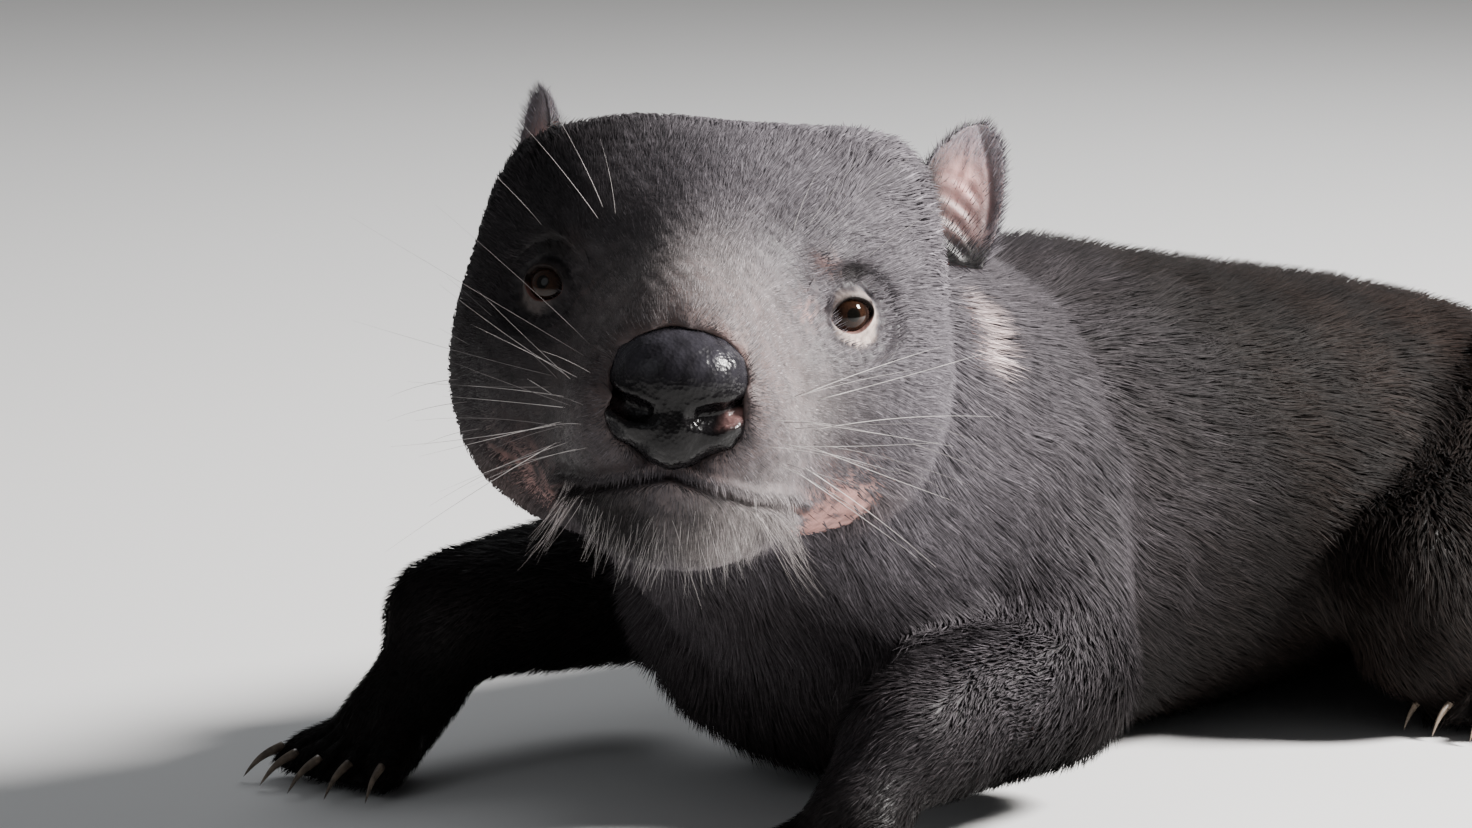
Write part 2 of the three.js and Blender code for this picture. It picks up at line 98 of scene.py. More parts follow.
def object_from(name, points, faces):
    mesh = bpy.data.meshes.new(name)
    mesh.from_pydata(np.asarray(points).tolist(), [], np.asarray(faces).tolist() if len(faces) else [])
    mesh.update()
    return piece(name, mesh)


def rows_of(items, field, kind=float, width=3):
    out = np.empty(len(items) * width, dtype=kind)
    items.foreach_get(field, out)
    return out.reshape(-1, width)


def places(mesh):
    return rows_of(mesh.vertices, "co")


def set_places(mesh, points):
    mesh.vertices.foreach_set("co", np.ascontiguousarray(points).ravel())
    mesh.update()


def vertex_normals(mesh):
    return rows_of(mesh.vertices, "normal")


def shade_smooth(mesh):
    mesh.polygons.foreach_set("use_smooth", np.ones(len(mesh.polygons), dtype=bool))
    mesh.update()


def edges_of(mesh):
    return rows_of(mesh.edges, "vertices", np.int32, 2)


def tube_faces(rings, around):
    """Faces between neighbouring rings of points."""
    return [
        (i * around + j, (i + 1) * around + j, (i + 1) * around + (j + 1) % around, i * around + (j + 1) % around)
        for i in range(rings)
        for j in range(around)
    ]


def relax(mesh, rounds, keep=None):
    """Smooths a mesh by drawing every point towards the middle of its neighbours."""
    p, e = places(mesh), edges_of(mesh)
    count = np.bincount(e.ravel(), minlength=len(p))[:, None]
    pull = 0.5 if keep is None else 0.5 * (1 - keep)[:, None]
    for _ in range(rounds):
        total = np.zeros_like(p)
        np.add.at(total, e[:, 0], p[e[:, 1]])
        np.add.at(total, e[:, 1], p[e[:, 0]])
        p += (total / np.maximum(count, 1) - p) * pull
    set_places(mesh, p)


def remeshed(obj, voxel):
    modifier = obj.modifiers.new("cells", "REMESH")
    modifier.mode = "VOXEL"
    modifier.voxel_size = voxel
    modifier.adaptivity = 0
    graph = bpy.context.evaluated_depsgraph_get()
    mesh = bpy.data.meshes.new_from_object(obj.evaluated_get(graph))
    obj.modifiers.clear()
    old, obj.data = obj.data, mesh
    bpy.data.meshes.remove(old)
    return mesh


def merged_nodes(names, grow):
    """One mesh of some CAD nodes, each grown a little so that neighbours overlap."""
    bm = bmesh.new()
    for name in names:
        part = bmesh.new()
        part.from_mesh(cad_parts[name].data)
        bmesh.ops.remove_doubles(part, verts=part.verts, dist=1e-5)
        part.normal_update()
        for v in part.verts:
            v.co += v.normal * grow
        mesh = bpy.data.meshes.new("part")
        part.to_mesh(mesh)
        part.free()
        bm.from_mesh(mesh)
        bpy.data.meshes.remove(mesh)
    mesh = bpy.data.meshes.new("merged")
    bm.to_mesh(mesh)
    bm.free()
    return mesh


def piece(name, mesh):
    obj = bpy.data.objects.new(name, mesh)
    bpy.context.collection.objects.link(obj)
    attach(obj, BODY)
    return obj


def keep_largest(mesh):
    """Drops every loose shell but the one with most vertices."""
    bm = bmesh.new()
    bm.from_mesh(mesh)
    bm.verts.ensure_lookup_table()
    seen, best = set(), []
    for v in bm.verts:
        if v.index in seen:
            continue
        shell, stack = [], [v]
        seen.add(v.index)
        while stack:
            w = stack.pop()
            shell.append(w)
            for e in w.link_edges:
                o = e.other_vert(w)
                if o.index not in seen:
                    seen.add(o.index)
                    stack.append(o)
        if len(shell) > len(best):
            best = shell
    kept = set(v.index for v in best)
    bmesh.ops.delete(bm, geom=[v for v in bm.verts if v.index not in kept], context="VERTS")
    bm.to_mesh(mesh)
    bm.free()


# The parts of the body as rods in body millimetres: name, from, to, the two radii, how deep the coat is,
# how long and wide its tufts are, and how many grow on a square millimetre.
RODS = [
    ("neck", (40, -110, 132), (14, -14, 94), 54, 64, 5.5, 13, 0.52, 1.5),
    ("torso", (2, -10, 76), (0, 110, 72), 62, 68, 5.5, 14, 0.8, 0.84),
    ("torso", (0, 110, 72), (0, 262, 56), 68, 50, 5.5, 14, 0.8, 0.84),
    ("tail", (0, 300, 44), (2, 375, 22), 27, 18, 3.6, 10, 0.9, 0.7),
    ("tail", (2, 375, 22), (9, 455, 10.5), 18, 11, 2.8, 9, 0.85, 0.8),
    ("tail", (9, 455, 10.5), (17, 550, 3.4), 11, 4, 1.5, 7, 0.7, 1.0),
    ("upper_arm_left", (42, -4, 90), (68, -14, 38), 36, 27, 4.2, 11, 0.9, 0.7),
    ("forearm_left", (68, -14, 38), (84, -96, 34), 28, 20, 2.8, 8, 0.75, 0.95),
    ("forepaw_left", (84, -96, 30), (79, -140, 10), 19, 9, 0.9, 4, 0.45, 1.6),
    ("upper_arm_right", (-48, -12, 88), (-86, -8, 47), 36, 27, 4.2, 11, 0.9, 0.7),
    ("forearm_right", (-86, -8, 47), (-97, -88, 44), 28, 20, 2.8, 8, 0.75, 0.95),
    ("forepaw_right", (-97, -88, 38), (-95, -132, 10), 19, 9, 0.9, 4, 0.45, 1.6),
] + [
    (f"{name}_{side}", (k * a[0], a[1], a[2]), (k * b[0], b[1], b[2]), *rest)
    for side, k in SIDES
    for name, a, b, *rest in (
        ("thigh", (38, 238, 58), (80, 136, 48), 50, 28, 4.6, 12, 0.95, 0.62),
        ("shank", (82, 138, 38), (90, 228, 24), 25, 15, 2.4, 8, 0.75, 0.9),
        ("hindfoot", (92, 226, 14), (101, 150, 9), 13, 9, 0.8, 4, 0.45, 1.5),
    )
]
NOSE_TIP = np.array((0, -64, -26.0))
HEAD_COAT = 3.0


def to_body(points):
    return np.asarray(points) / MM + np.array(BOX_MIDDLE) / MM


def rod_field(p, normals):
    """The coat at some places of the skin: region, depth, length, width, density and the way it lies."""
    q, h = to_body(p), to_head(p)
    n = len(q)
    reach = np.empty((len(RODS) + 1, n))
    lies = np.empty((len(RODS) + 1, n, 3))
    for i, (name, a, b, ra, rb, *_) in enumerate(RODS):
        a, b = np.array(a, dtype=float), np.array(b, dtype=float)
        axis = b - a
        t = np.clip((q - a) @ axis / (axis @ axis), 0, 1)
        reach[i] = np.linalg.norm(q - a - t[:, None] * axis, axis=1) - (ra + (rb - ra) * t)
        lies[i] = unit(axis)
        if name in ("torso", "neck"):
            lies[i] = unit(unit(axis) + np.abs(normals[:, :1]) * np.array((0, 0, -0.45)))
        elif name.startswith("thigh") or name.startswith("upper_arm"):
            lies[i] = unit(unit(axis) + np.array((0, 0.25, -0.35)))
    core = np.clip(h[:, 1], -34, 38)
    width = np.interp(core, (-60, -30, 0, 38), (20, 28, 50, 56))
    centre = np.stack([np.zeros(n), core, np.interp(core, (-60, -30, 0, 38), (-30, -28, -16, -10))], axis=1)
    reach[-1] = np.linalg.norm((h - centre) * np.array((1, 1, 1.15)), axis=1) - width - 6
    away = unit(h - NOSE_TIP)
    away[:, 2] -= 0.25 * np.clip(-h[:, 2] / 40, 0, 1)
    lies[-1] = unit(away) @ HEAD.T
    weight = np.exp(-np.clip((reach - reach.min(axis=0)) / 7, 0, 30))
    weight /= weight.sum(axis=0)
    rows = np.array([r[5:] for r in RODS] + [(HEAD_COAT, 8, 0.7, 0.9)], dtype=float)
    depth, length, width, density = (weight.T @ rows).T
    lie = np.einsum("kn,knc->nc", weight, lies)
    region = np.argmax(weight, axis=0)
    # the coat of the head is finest on the muzzle and round the eyes
    share = weight[-1]
    back = smooth(-8, 42, h[:, 1])
    depth = depth * (1 - share) + share * (0.35 + (HEAD_COAT - 0.35) * back)
    length = length * (1 - share) + share * (3.6 + 6.4 * back)
    width = width * (1 - share) + share * (0.27 + 0.38 * back)
    density = density * (1 - share) + share * (3.3 - 1.6 * back)
    # bristles on the chin, a fringe on the upper lip, and a long pale tuft beside the lower lip
    m = mirrored(h)
    side = np.sign(h[:, 0])
    mouth, _ = along(m, MOUTH)
    above = smooth(-1.0, 1.0, m[:, 2] + 0.18 * (m[:, 1] + 50) + 48)
    fringe = np.exp(-(((mouth - 2.2) / 1.6) ** 2)) * above * (1 - smooth(-30, -15, h[:, 1]))
    chin = blob(m, (14, -42, -62), (22, 22, 11))
    tuft = blob(m, (28, -26, -57), (6, 9, 6))
    down = np.stack([0.25 * side, np.full(n, 0.25), np.full(n, -1.0)], axis=1) @ HEAD.T
    pull = np.clip(fringe + 0.8 * chin + 1.5 * tuft, 0, 1)[:, None]
    lie = lie * (1 - pull) + down * pull
    ruff = smooth(16, 44, h[:, 1]) * share
    length = length + 1.2 * fringe + 4.0 * chin + 13 * tuft + 8.0 * ruff
    depth = depth + 0.5 * fringe + 1.3 * chin + 2.0 * tuft + 2.6 * ruff
    lie = along_surface(lie, normals)
    return region, depth, length, width, density, lie, share


def mirrored(h):
    return np.stack([np.abs(h[:, 0]), h[:, 1], h[:, 2]], axis=1)


def blob(h, centre, size):
    """One inside a soft ellipsoid, nought outside."""
    return np.exp(-np.sum(((h - np.array(centre)) / np.array(size)) ** 2, axis=1))


def waves(p, scale, seed):
    """Smooth noise between -1 and 1 on row places, scale in millimetres."""
    rng = np.random.default_rng(seed)
    total = np.zeros(len(p))
    for _ in range(7):
        k = unit(rng.normal(size=3)) * rng.uniform(0.6, 1.6) * 2 * math.pi / (scale * MM)
        total += np.sin(p @ k + rng.uniform(0, 6.28))
    return total / 3.2


def along(h, line):
    """Distance to an open line and how far along it, from nought to one, the nearest place is."""
    line = np.array(line, dtype=float)
    best, share = np.full(len(h), 1e9), np.zeros(len(h))
    for i in range(len(line) - 1):
        a, d = line[i], line[i + 1] - line[i]
        if d @ d < 1e-9:
            continue
        t = np.clip((h - a) @ d / (d @ d), 0, 1)
        r = np.linalg.norm(h - a - t[:, None] * d, axis=1)
        near = r < best
        best = np.where(near, r, best)
        share = np.where(near, (i + t) / (len(line) - 1), share)
    return best, share


# Places on the head, the animal's left side
MOUTH = [(0, -57, -44.5), (10, -53, -47), (21, -42, -50), (33, -22, -50.5), (40, -6, -54)]
EYE_GAZE = np.array((0.62, -0.78, 0.08))
PINK_CORNER = (42, 6, -56)
BROW_SPOT = (31, -6, 12)
BARE_BAND = [(68, 60, 18), (73, 80, 7), (75, 73, -6)]

BLACK = np.array((0.007, 0.0058, 0.0055))
WARM_BLACK, RUST = np.array((0.0088, 0.0066, 0.0058)), np.array((0.0145, 0.0088, 0.007))
SILVER, LILAC = np.array((0.30, 0.27, 0.265)), np.array((0.110, 0.100, 0.112))
BARE_PINK, CREAM = np.array((0.52, 0.29, 0.26)), np.array((0.74, 0.60, 0.54))
MUZZLE_SKIN, WARM_GREY = np.array((0.130, 0.086, 0.080)), np.array((0.125, 0.092, 0.088))


def toward(colours, target, amount):
    amount = np.clip(amount, 0, 1)[:, None]
    return colours + (target - colours) * amount


def eye_ring(m):
    """How far a place lies from the line of sight of its own eye, and which way it lies round it."""
    gaze = unit(EYE_GAZE)
    off = m - EYE_CENTRE_LOCAL
    away = off - (off @ gaze)[:, None] * gaze
    ring = np.linalg.norm(away, axis=1)
    return np.where(np.linalg.norm(off, axis=1) < 26, ring, 99), away / np.maximum(ring, 1e-6)[:, None]


def markings(p):
    """The colour of skin and of fur at some places, and how bare the skin is there."""
    h = to_head(p)
    m = mirrored(h)
    q = to_body(p)
    mottle = 0.5 + 0.5 * np.clip(waves(p, 55, 3), -1, 1)
    fleck = waves(p, 9, 11)
    front = (1 - smooth(-84, 96, q[:, 1] + 16 * fleck)) * smooth(6, 62, q[:, 2])
    front = front * (1 - 0.25 * smooth(40, 90, h[:, 1]))
    # The photo's hard sun is partly painted in. front is the pale glare on the head, neck and shoulders; lit,
    # shine and chin_lit make the animal's right side darker. The real coat is near black and even.
    lit = smooth(-16, 12, h[:, 0])
    fur = np.tile(BLACK, (len(p), 1))
    fur = toward(fur, WARM_BLACK, mottle)
    fur = toward(fur, RUST, smooth(60, 300, q[:, 1]) * (0.25 + 0.45 * mottle))
    shine = 0.22 + 0.78 * smooth(-44, 22, h[:, 0])
    # The painted glare is weaker on the low parts of the body, as painted shade there.
    low = 1 - 0.55 * smooth(84, 40, q[:, 2])
    fur = toward(fur, LILAC * 1.08, front * 0.84 * shine * low)
    # painted highlight: a paler patch on top of the left forearm only
    fur = toward(fur, LILAC, 0.22 * blob(q, (90, -60, 52), (24, 44, 24)))
    bridge = blob(h, (0, -34, -2), (22, 26, 18))
    fur = toward(fur, SILVER, bridge * 0.75)
    side_muzzle = blob(m, (26, -30, -26), (18, 24, 18))
    fur = toward(fur, SILVER, side_muzzle * (0.08 + 0.52 * lit))
    chin = np.clip(blob(m, (16, -40, -58), (26, 24, 12)) * 1.3, 0, 1)
    chin_lit = smooth(-8, 26, h[:, 0] + 3 * fleck)
    fur = toward(fur, SILVER * (0.03 + 1.05 * chin_lit)[:, None], chin * 0.9)
    # painted shade under the chin: the throat is pulled from the painted glare back to warm black
    painted_throat_shade = np.clip(blob(h, (26, 32, -86), (54, 34, 19)) * 1.2, 0, 1)
    fur = toward(fur, WARM_BLACK, painted_throat_shade * 0.8)
    warm = blob(m, (54, 14, -58), (14, 16, 12))
    fur = toward(fur, WARM_GREY, warm * 0.6)
    # A small black blob is painted shade in the hollow before each ear's base; the brow blob is a patch of dark hair
    # over each eye.
    painted_ear_base_shade = blob(m, (55, 34, 36), (6, 7, 8))
    brow = np.clip(blob(m, (38, -4, 10), (8, 7, 3.4)) * 1.2, 0, 1)
    fur = toward(fur, BLACK, np.maximum(painted_ear_base_shade, brow * 0.85))
    skin = fur * 0.75
    muzzle = np.clip(blob(h, (0, -48, -20), (30, 30, 26)) * 1.2, 0, 1)
    skin = toward(skin, MUZZLE_SKIN * (0.45 + 0.75 * lit)[:, None], muzzle * (0.75 + 0.25 * fleck))
    ring, way = eye_ring(m)
    low_side = np.clip(0.5 + 0.75 * (0.55 * way[:, 0] - 0.8 * way[:, 2]), 0, 1)
    lid = 1 - smooth(6.4, 8.2 + 1.4 * low_side, ring + 0.7 * fleck)
    lid = lid * (0.38 + 0.62 * low_side) * (0.05 + 0.95 * lit)
    corner = np.clip(blob(m, PINK_CORNER, (14, 18, 13)) * 1.5, 0, 1) * (0.30 + 0.80 * lit)
    spot = blob(m, BROW_SPOT, (3.4, 4, 3)) * (0.1 + 0.8 * lit)
    tear = blob(m, (28, -15, -2), (4, 5, 5)) * np.clip(0.4 + 0.8 * waves(p, 4, 61), 0, 1) * (0.1 + 0.9 * lit)
    band = smooth(9.5, 4.5, along(h, BARE_BAND)[0] + 1.6 * fleck)
    rough = np.clip(0.85 + 0.5 * waves(p, 5, 5), 0, 1.3)
    skin = toward(skin, CREAM, lid * 0.95)
    for amount in (corner, spot, 0.7 * tear, band):
        skin = toward(skin, BARE_PINK, amount * rough * 1.1)
    fur = toward(fur, SILVER * (1.7, 1.5, 1.5), band * 0.95)
    mouth, _ = along(m, MOUTH)
    lips = np.exp(-((mouth / 1.0) ** 2))
    skin = toward(skin, np.array((0.012, 0.008, 0.008)), lips * 1.1)
    bare = np.maximum.reduce([lid * 0.8, corner * 1.1, spot * 0.6, tear * 0.5, band * 0.8, lips])
    return np.clip(skin, 0.003, 1), np.clip(fur, 0.003, 1), np.clip(bare, 0, 1)


# Skin
FLESH = ["torso", "neck", "head", "tail"] + [
    f"{name}_{side}"
    for name in ("upper_arm", "forearm", "forepaw", "thigh", "shank", "hindfoot")
    for side, _ in SIDES
]


def node_middle(name):
    low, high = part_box(name)
    return (np.array(low) + np.array(high)) / 2


EYE_CENTRE = {side: node_middle(f"eye_{side}") for side, _ in SIDES}
EYE_CENTRE_LOCAL = to_head(EYE_CENTRE["left"][None])[0]
EYE_SIZE = 7.5


def refine(mesh, chosen):
    """Cuts the chosen faces in four."""
    bm = bmesh.new()
    bm.from_mesh(mesh)
    bm.faces.ensure_lookup_table()
    edges = {e for i in chosen for e in bm.faces[i].edges}
    bmesh.ops.subdivide_edges(bm, edges=list(edges), cuts=1, use_grid_fill=True)
    bm.to_mesh(mesh)
    bm.free()


def triangles_of(mesh):
    mesh.calc_loop_triangles()
    return rows_of(mesh.loop_triangles, "vertices", np.int32)


def face_middles(mesh):
    return rows_of(mesh.polygons, "center")


FEET = [f"{name}_{side}" for name in ("forepaw", "hindfoot") for side, _ in SIDES]


def near_feet(p):
    """One on the toes and the low part of each foot, nought elsewhere."""
    out = np.zeros(len(p))
    for foot in FEET:
        low, high = (np.array(c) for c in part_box(foot))
        inside = np.all((p > low - FOOT_MARGIN) & (p < high + FOOT_MARGIN), axis=1)
        out = np.maximum(out, inside * smooth(0.030, 0.018, p[:, 2]))
    return out


def claws_of(foot):
    return sorted(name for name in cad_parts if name.startswith(f"claw_{foot}_"))


skin = piece("skin", merged_nodes(FLESH, NODE_GROWTH))
mesh = remeshed(skin, SKIN_VOXEL)
keep_largest(mesh)
relax(mesh, 8, keep=0.85 * near_feet(places(mesh)))
p, n = places(mesh), vertex_normals(mesh)
region, depth, *_ = rod_field(p, n)
p -= n * (depth * MM)[:, None]
set_places(mesh, p)
relax(mesh, 3, keep=0.85 * near_feet(places(mesh)))
refine(mesh, np.nonzero(near_feet(face_middles(mesh)) > 0.4)[0])
h = to_head(face_middles(mesh))
refine(mesh, np.nonzero((h[:, 1] < 26) & (np.abs(h[:, 0]) < 85) & (h[:, 2] > -85))[0])
h = to_head(face_middles(mesh))
refine(mesh, np.nonzero((h[:, 1] < 4) & (np.abs(h[:, 0]) < 55) & (h[:, 2] > -78))[0])
relax(mesh, 3, keep=0.6 * near_feet(places(mesh)))


def ripples(h, line, width, depth):
    d, t = along(h, line)
    return -depth * np.exp(-((d / width) ** 2)) * np.sin(np.clip(t, 0.02, 0.98) * math.pi) ** 0.4


def laid(line, tree):
    """A line of head places, made finer and brought onto the skin."""
    line = np.array(line, dtype=float)
    steps = np.linspace(0, len(line) - 1, 8 * (len(line) - 1) + 1)
    fine = np.stack([np.interp(steps, np.arange(len(line)), line[:, i]) for i in range(3)], axis=1)
    out = []
    for q in fine:
        start = np.array((0, q[1] * 0.4, q[2]))
        way = unit(q - start)
        hit = tree.ray_cast(Vector(from_head(start + way * 90)), Vector(HEAD @ -way), 0.09)
        out.append(to_head(np.array(hit[0])) if hit[0] is not None else q)
    return np.array(out)


p = places(mesh)
n = vertex_normals(mesh)
MOUTH = laid(MOUTH, BVHTree.FromPolygons(p.tolist(), triangles_of(mesh).tolist()))
h = to_head(p)
m = mirrored(h)
push = np.zeros(len(p))
# mouth: a deep line under the hanging edge of the upper lip
d, t = along(m, MOUTH)
fade = 1 - smooth(0.84, 1.0, t)
above = smooth(-1.0, 1.0, m[:, 2] + 0.18 * (m[:, 1] + 50) + 48)
push -= 3.4 * np.exp(-((d / 1.0) ** 2)) * (0.35 + 0.65 * fade)
lip = np.exp(-(((d - 2.8) / 1.8) ** 2)) * fade
push += lip * (0.45 + 1.25 * above)
# whisker pad, with its rows of small knobs
pad = blob(m, (22, -38, -35), (15, 17, 10))
push += 1.5 * pad
rows = np.sin(m[:, 1] * 1.15 + m[:, 2] * 0.3) * np.sin(m[:, 2] * 1.25 - m[:, 1] * 0.2)
push += 0.2 * pad * rows
# brow, its knob of whiskers, and the folds round the eye
push += 1.3 * blob(m, (30, -1, 12), (13, 10, 6))
push += 1.2 * blob(m, BROW_SPOT, (4.5, 4.5, 4))
push += ripples(m, [(27, -8, 10), (36, -2, 11), (46, 8, 9)], 1.4, 0.7)
push += ripples(m, [(26, -18, -8), (32, -12, -14), (42, -3, -16), (52, 8, -12)], 1.3, 0.8)
# folds that run back from the corner of the mouth
push += ripples(m, [(38, -8, -50), (48, 2, -46), (57, 14, -40)], 1.6, 1.1)
push += ripples(m, [(40, -6, -58), (50, 4, -60), (58, 16, -58)], 1.8, 1.2)
push += ripples(m, [(30, -26, -40), (38, -16, -38), (47, -4, -34)], 1.6, 0.7)
facing = (h[:, 1] < 40).astype(float)
push += 0.15 * waves(p, 7, 21) * facing * smooth(38, 10, h[:, 1])
# creases between the toes, from between two claws back towards the palm
for foot in FEET:
    tips = [node_middle(name) for name in claws_of(foot)]
    palm = node_middle(foot)
    for first, second in zip(tips, tips[1:]):
        start = (first + second) / 2
        way = unit((palm - start) * (1, 1, 0))
        rel = (p - start) / MM
        ahead = rel @ way
        off = np.linalg.norm((rel - ahead[:, None] * way)[:, :2], axis=1)
        span = smooth(0, 4, ahead) * smooth(26, 15, ahead) * (rel[:, 2] < 20)
        push -= 2.6 * np.exp(-((off / 1.5) ** 2)) * span * smooth(-0.3, 0.3, n[:, 2])
p += n * (push * MM)[:, None]
# behind each eye the skin lies under the lids
h = to_head(p)
m = mirrored(h)
gaze = unit(EYE_GAZE)
off = m - EYE_CENTRE_LOCAL
axial = off @ gaze
ring = np.linalg.norm(off - axial[:, None] * gaze, axis=1)
near = (ring < 15) & (axial > -12) & (axial < 16)
sink = np.where(near, (1 - smooth(11.5, 14.5, ring)) * 2.0, 0)
for side, k in SIDES:
    g = unit(gaze * np.array((k, 1, 1)))
    mine = near & (h[:, 0] * k > 0)
    h[mine] -= sink[mine, None] * g
    deep = mine & (ring < 9.5)
    over = ((h[deep] - EYE_CENTRE_LOCAL * np.array((k, 1, 1))) @ g) - 2.0
    h[deep] -= np.maximum(over, 0)[:, None] * g
p = from_head(h)
p[:, 2] = np.maximum(p[:, 2], SKIN_FLOOR_GAP)
set_places(mesh, p)
shade_smooth(mesh)
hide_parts(*FLESH)


def paint(mesh, rgb):
    colour = np.ones((len(rgb), 4), dtype=np.float32)
    colour[:, :3] = rgb
    mesh.color_attributes.new("tint", "FLOAT_COLOR", "POINT").data.foreach_set("color", colour.ravel())


def mark_bare(mesh, amount):
    mesh.attributes.new("bare", "FLOAT", "POINT").data.foreach_set("value", amount.astype(np.float32))


skin_colour, _, skin_bare = markings(places(mesh))
paint(mesh, skin_colour)
mark_bare(mesh, skin_bare)

skin_places, skin_normals, skin_triangles = places(mesh), vertex_normals(mesh), triangles_of(mesh)
skin_tree = BVHTree.FromPolygons(skin_places.tolist(), skin_triangles.tolist())

LID_GAZE = {"left": (0.42, -0.90, 0.08), "right": (-0.42, -0.89, 0.18)}

# Lids: a round sheet that lies on the eyeball, opens over the iris and runs out into the skin
OPENING = (5.9, 4.1)
LID_TILT = math.radians(18)
LID_EDGE = 14.5
lids = {}
for side, k in SIDES:
    g = unit(np.array(LID_GAZE[side]))
    c = EYE_CENTRE_LOCAL * np.array((k, 1, 1))
    up0 = unit(np.array((0, 0, 1.0)) - g[2] * g)
    out0 = np.cross(up0, g)
    out0 *= np.sign(out0[0]) * k
    outer = math.cos(LID_TILT) * out0 + math.sin(LID_TILT) * up0
    upper = -math.sin(LID_TILT) * out0 + math.cos(LID_TILT) * up0
    # the lie of the skin round the eye, as a smooth sheet
    samples, heights = [], []
    gw = HEAD @ g
    for ring_size in (12.5, 14.5, 17):
        for a in np.linspace(0, 2 * math.pi, 36, endpoint=False):
            u, v = ring_size * math.cos(a), ring_size * math.sin(a)
            start = from_head((c + outer * u + upper * v + g * 22)[None])[0]
            hit = skin_tree.ray_cast(Vector(start), Vector(-gw), 0.05)
            if hit[0] is not None:
                samples.append((1, u, v, u * u, u * v, v * v))
                heights.append((to_head(np.array(hit[0])[None])[0] - c) @ g)
    fit = np.linalg.lstsq(np.array(samples), np.array(heights), rcond=None)[0]

    def base(u, v):
        return fit[0] + fit[1] * u + fit[2] * v + fit[3] * u * u + fit[4] * u * v + fit[5] * v * v

    around, rows = 96, 30
    phi = np.linspace(0, 2 * math.pi, around, endpoint=False)
    cos, sin = np.cos(phi), np.sin(phi)
    wide = OPENING[0] + 0.2 * cos
    tall = np.where(sin > 0, OPENING[1] * 0.95, OPENING[1] * 1.05)
    rim = ((np.abs(cos) / wide) ** 1.7 + (np.abs(sin) / tall) ** 1.7) ** (-1 / 1.7)
    grid = np.empty((rows, around, 3))
    for i in range(rows):
        if i < 3:
            r = rim + (0.0, 0.12, 0.45)[i]
            ball = np.sqrt(np.maximum(EYE_SIZE**2 - r**2, 1.0))
            z = ball + (-0.5, 0.45, 0.95)[i]
        else:
            t = (i - 2) / (rows - 3)
            r = (rim + 0.45) * (1 - t**1.15) + LID_EDGE * t**1.15
            shell = np.where(r < EYE_SIZE + 0.9, np.sqrt(np.maximum((EYE_SIZE + 1.1) ** 2 - r**2, 0.02)), 0)
            flat = base(r * cos, r * sin)
            soft = 1.3
            z = soft * np.log(np.exp(np.clip(shell / soft, -9, 9)) + np.exp(np.clip(flat / soft, -9, 9)))
            z = z - 0.25 * smooth(0.0, 1.0, t) * soft
            upper_fold = np.exp(-(((r - rim - 3.4) / 0.75) ** 2)) * smooth(0.0, 0.6, sin)
            lower_fold = np.exp(-(((r - rim - 4.6) / 0.9) ** 2)) * smooth(-0.1, -0.7, sin)
            outer_fold = np.exp(-(((r - rim - 3.2) / 0.8) ** 2)) * smooth(0.5, 0.95, cos) * 0.5
            z = z - 0.75 * upper_fold - 0.6 * lower_fold - 0.5 * outer_fold
            z = z + 0.35 * np.exp(-(((r - rim - 1.2) / 0.9) ** 2))
            blend = smooth(0.72, 1.0, t)
            z = z * (1 - blend) + (flat - 0.25) * blend
            wrinkle = 0.16 * np.sin(phi * 19 + 2 * np.sin(phi * 3)) * smooth(0.1, 0.35, t) * (1 - smooth(0.7, 1, t))
            z = z + wrinkle
        grid[i] = c + r[:, None] * (cos[:, None] * outer + sin[:, None] * upper) + z[:, None] * g
    sheet_places = from_head(grid.reshape(-1, 3))
    faces = []
    for i in range(rows - 1):
        for j in range(around):
            a, b = i * around + j, i * around + (j + 1) % around
            faces.append((a, b, b + around, a + around))
    lid = object_from(f"lids_{side}", sheet_places, faces)
    shade_smooth(lid.data)
    if np.mean(vertex_normals(lid.data) @ gw) < 0:
        lid.data.flip_normals()
    colour, _, lid_bare = markings(sheet_places)
    row = np.repeat(np.arange(rows), around)
    top = np.tile(smooth(-0.35, 0.25, sin + 0.35 * cos), rows)
    colour = toward(colour, np.array((0.16, 0.07, 0.06)), np.where(row < 4, 0.9, 0.0))
    liner = np.exp(-(((row - 2.0) / 3.2) ** 2)) * top
    colour = toward(colour, np.array((0.010, 0.006, 0.005)), liner * 1.3)
    corner_line = np.exp(-(((np.tile((phi + math.pi) % (2 * math.pi) - math.pi, rows) - 0.28) / 0.16) ** 2))
    colour = toward(colour, np.array((0.012, 0.007, 0.006)), corner_line * (row > 2) * smooth(13, 6, row))
    paint(lid.data, colour)
    mark_bare(lid.data, lid_bare)
    lids[side] = (lid, c, g, outer, upper)

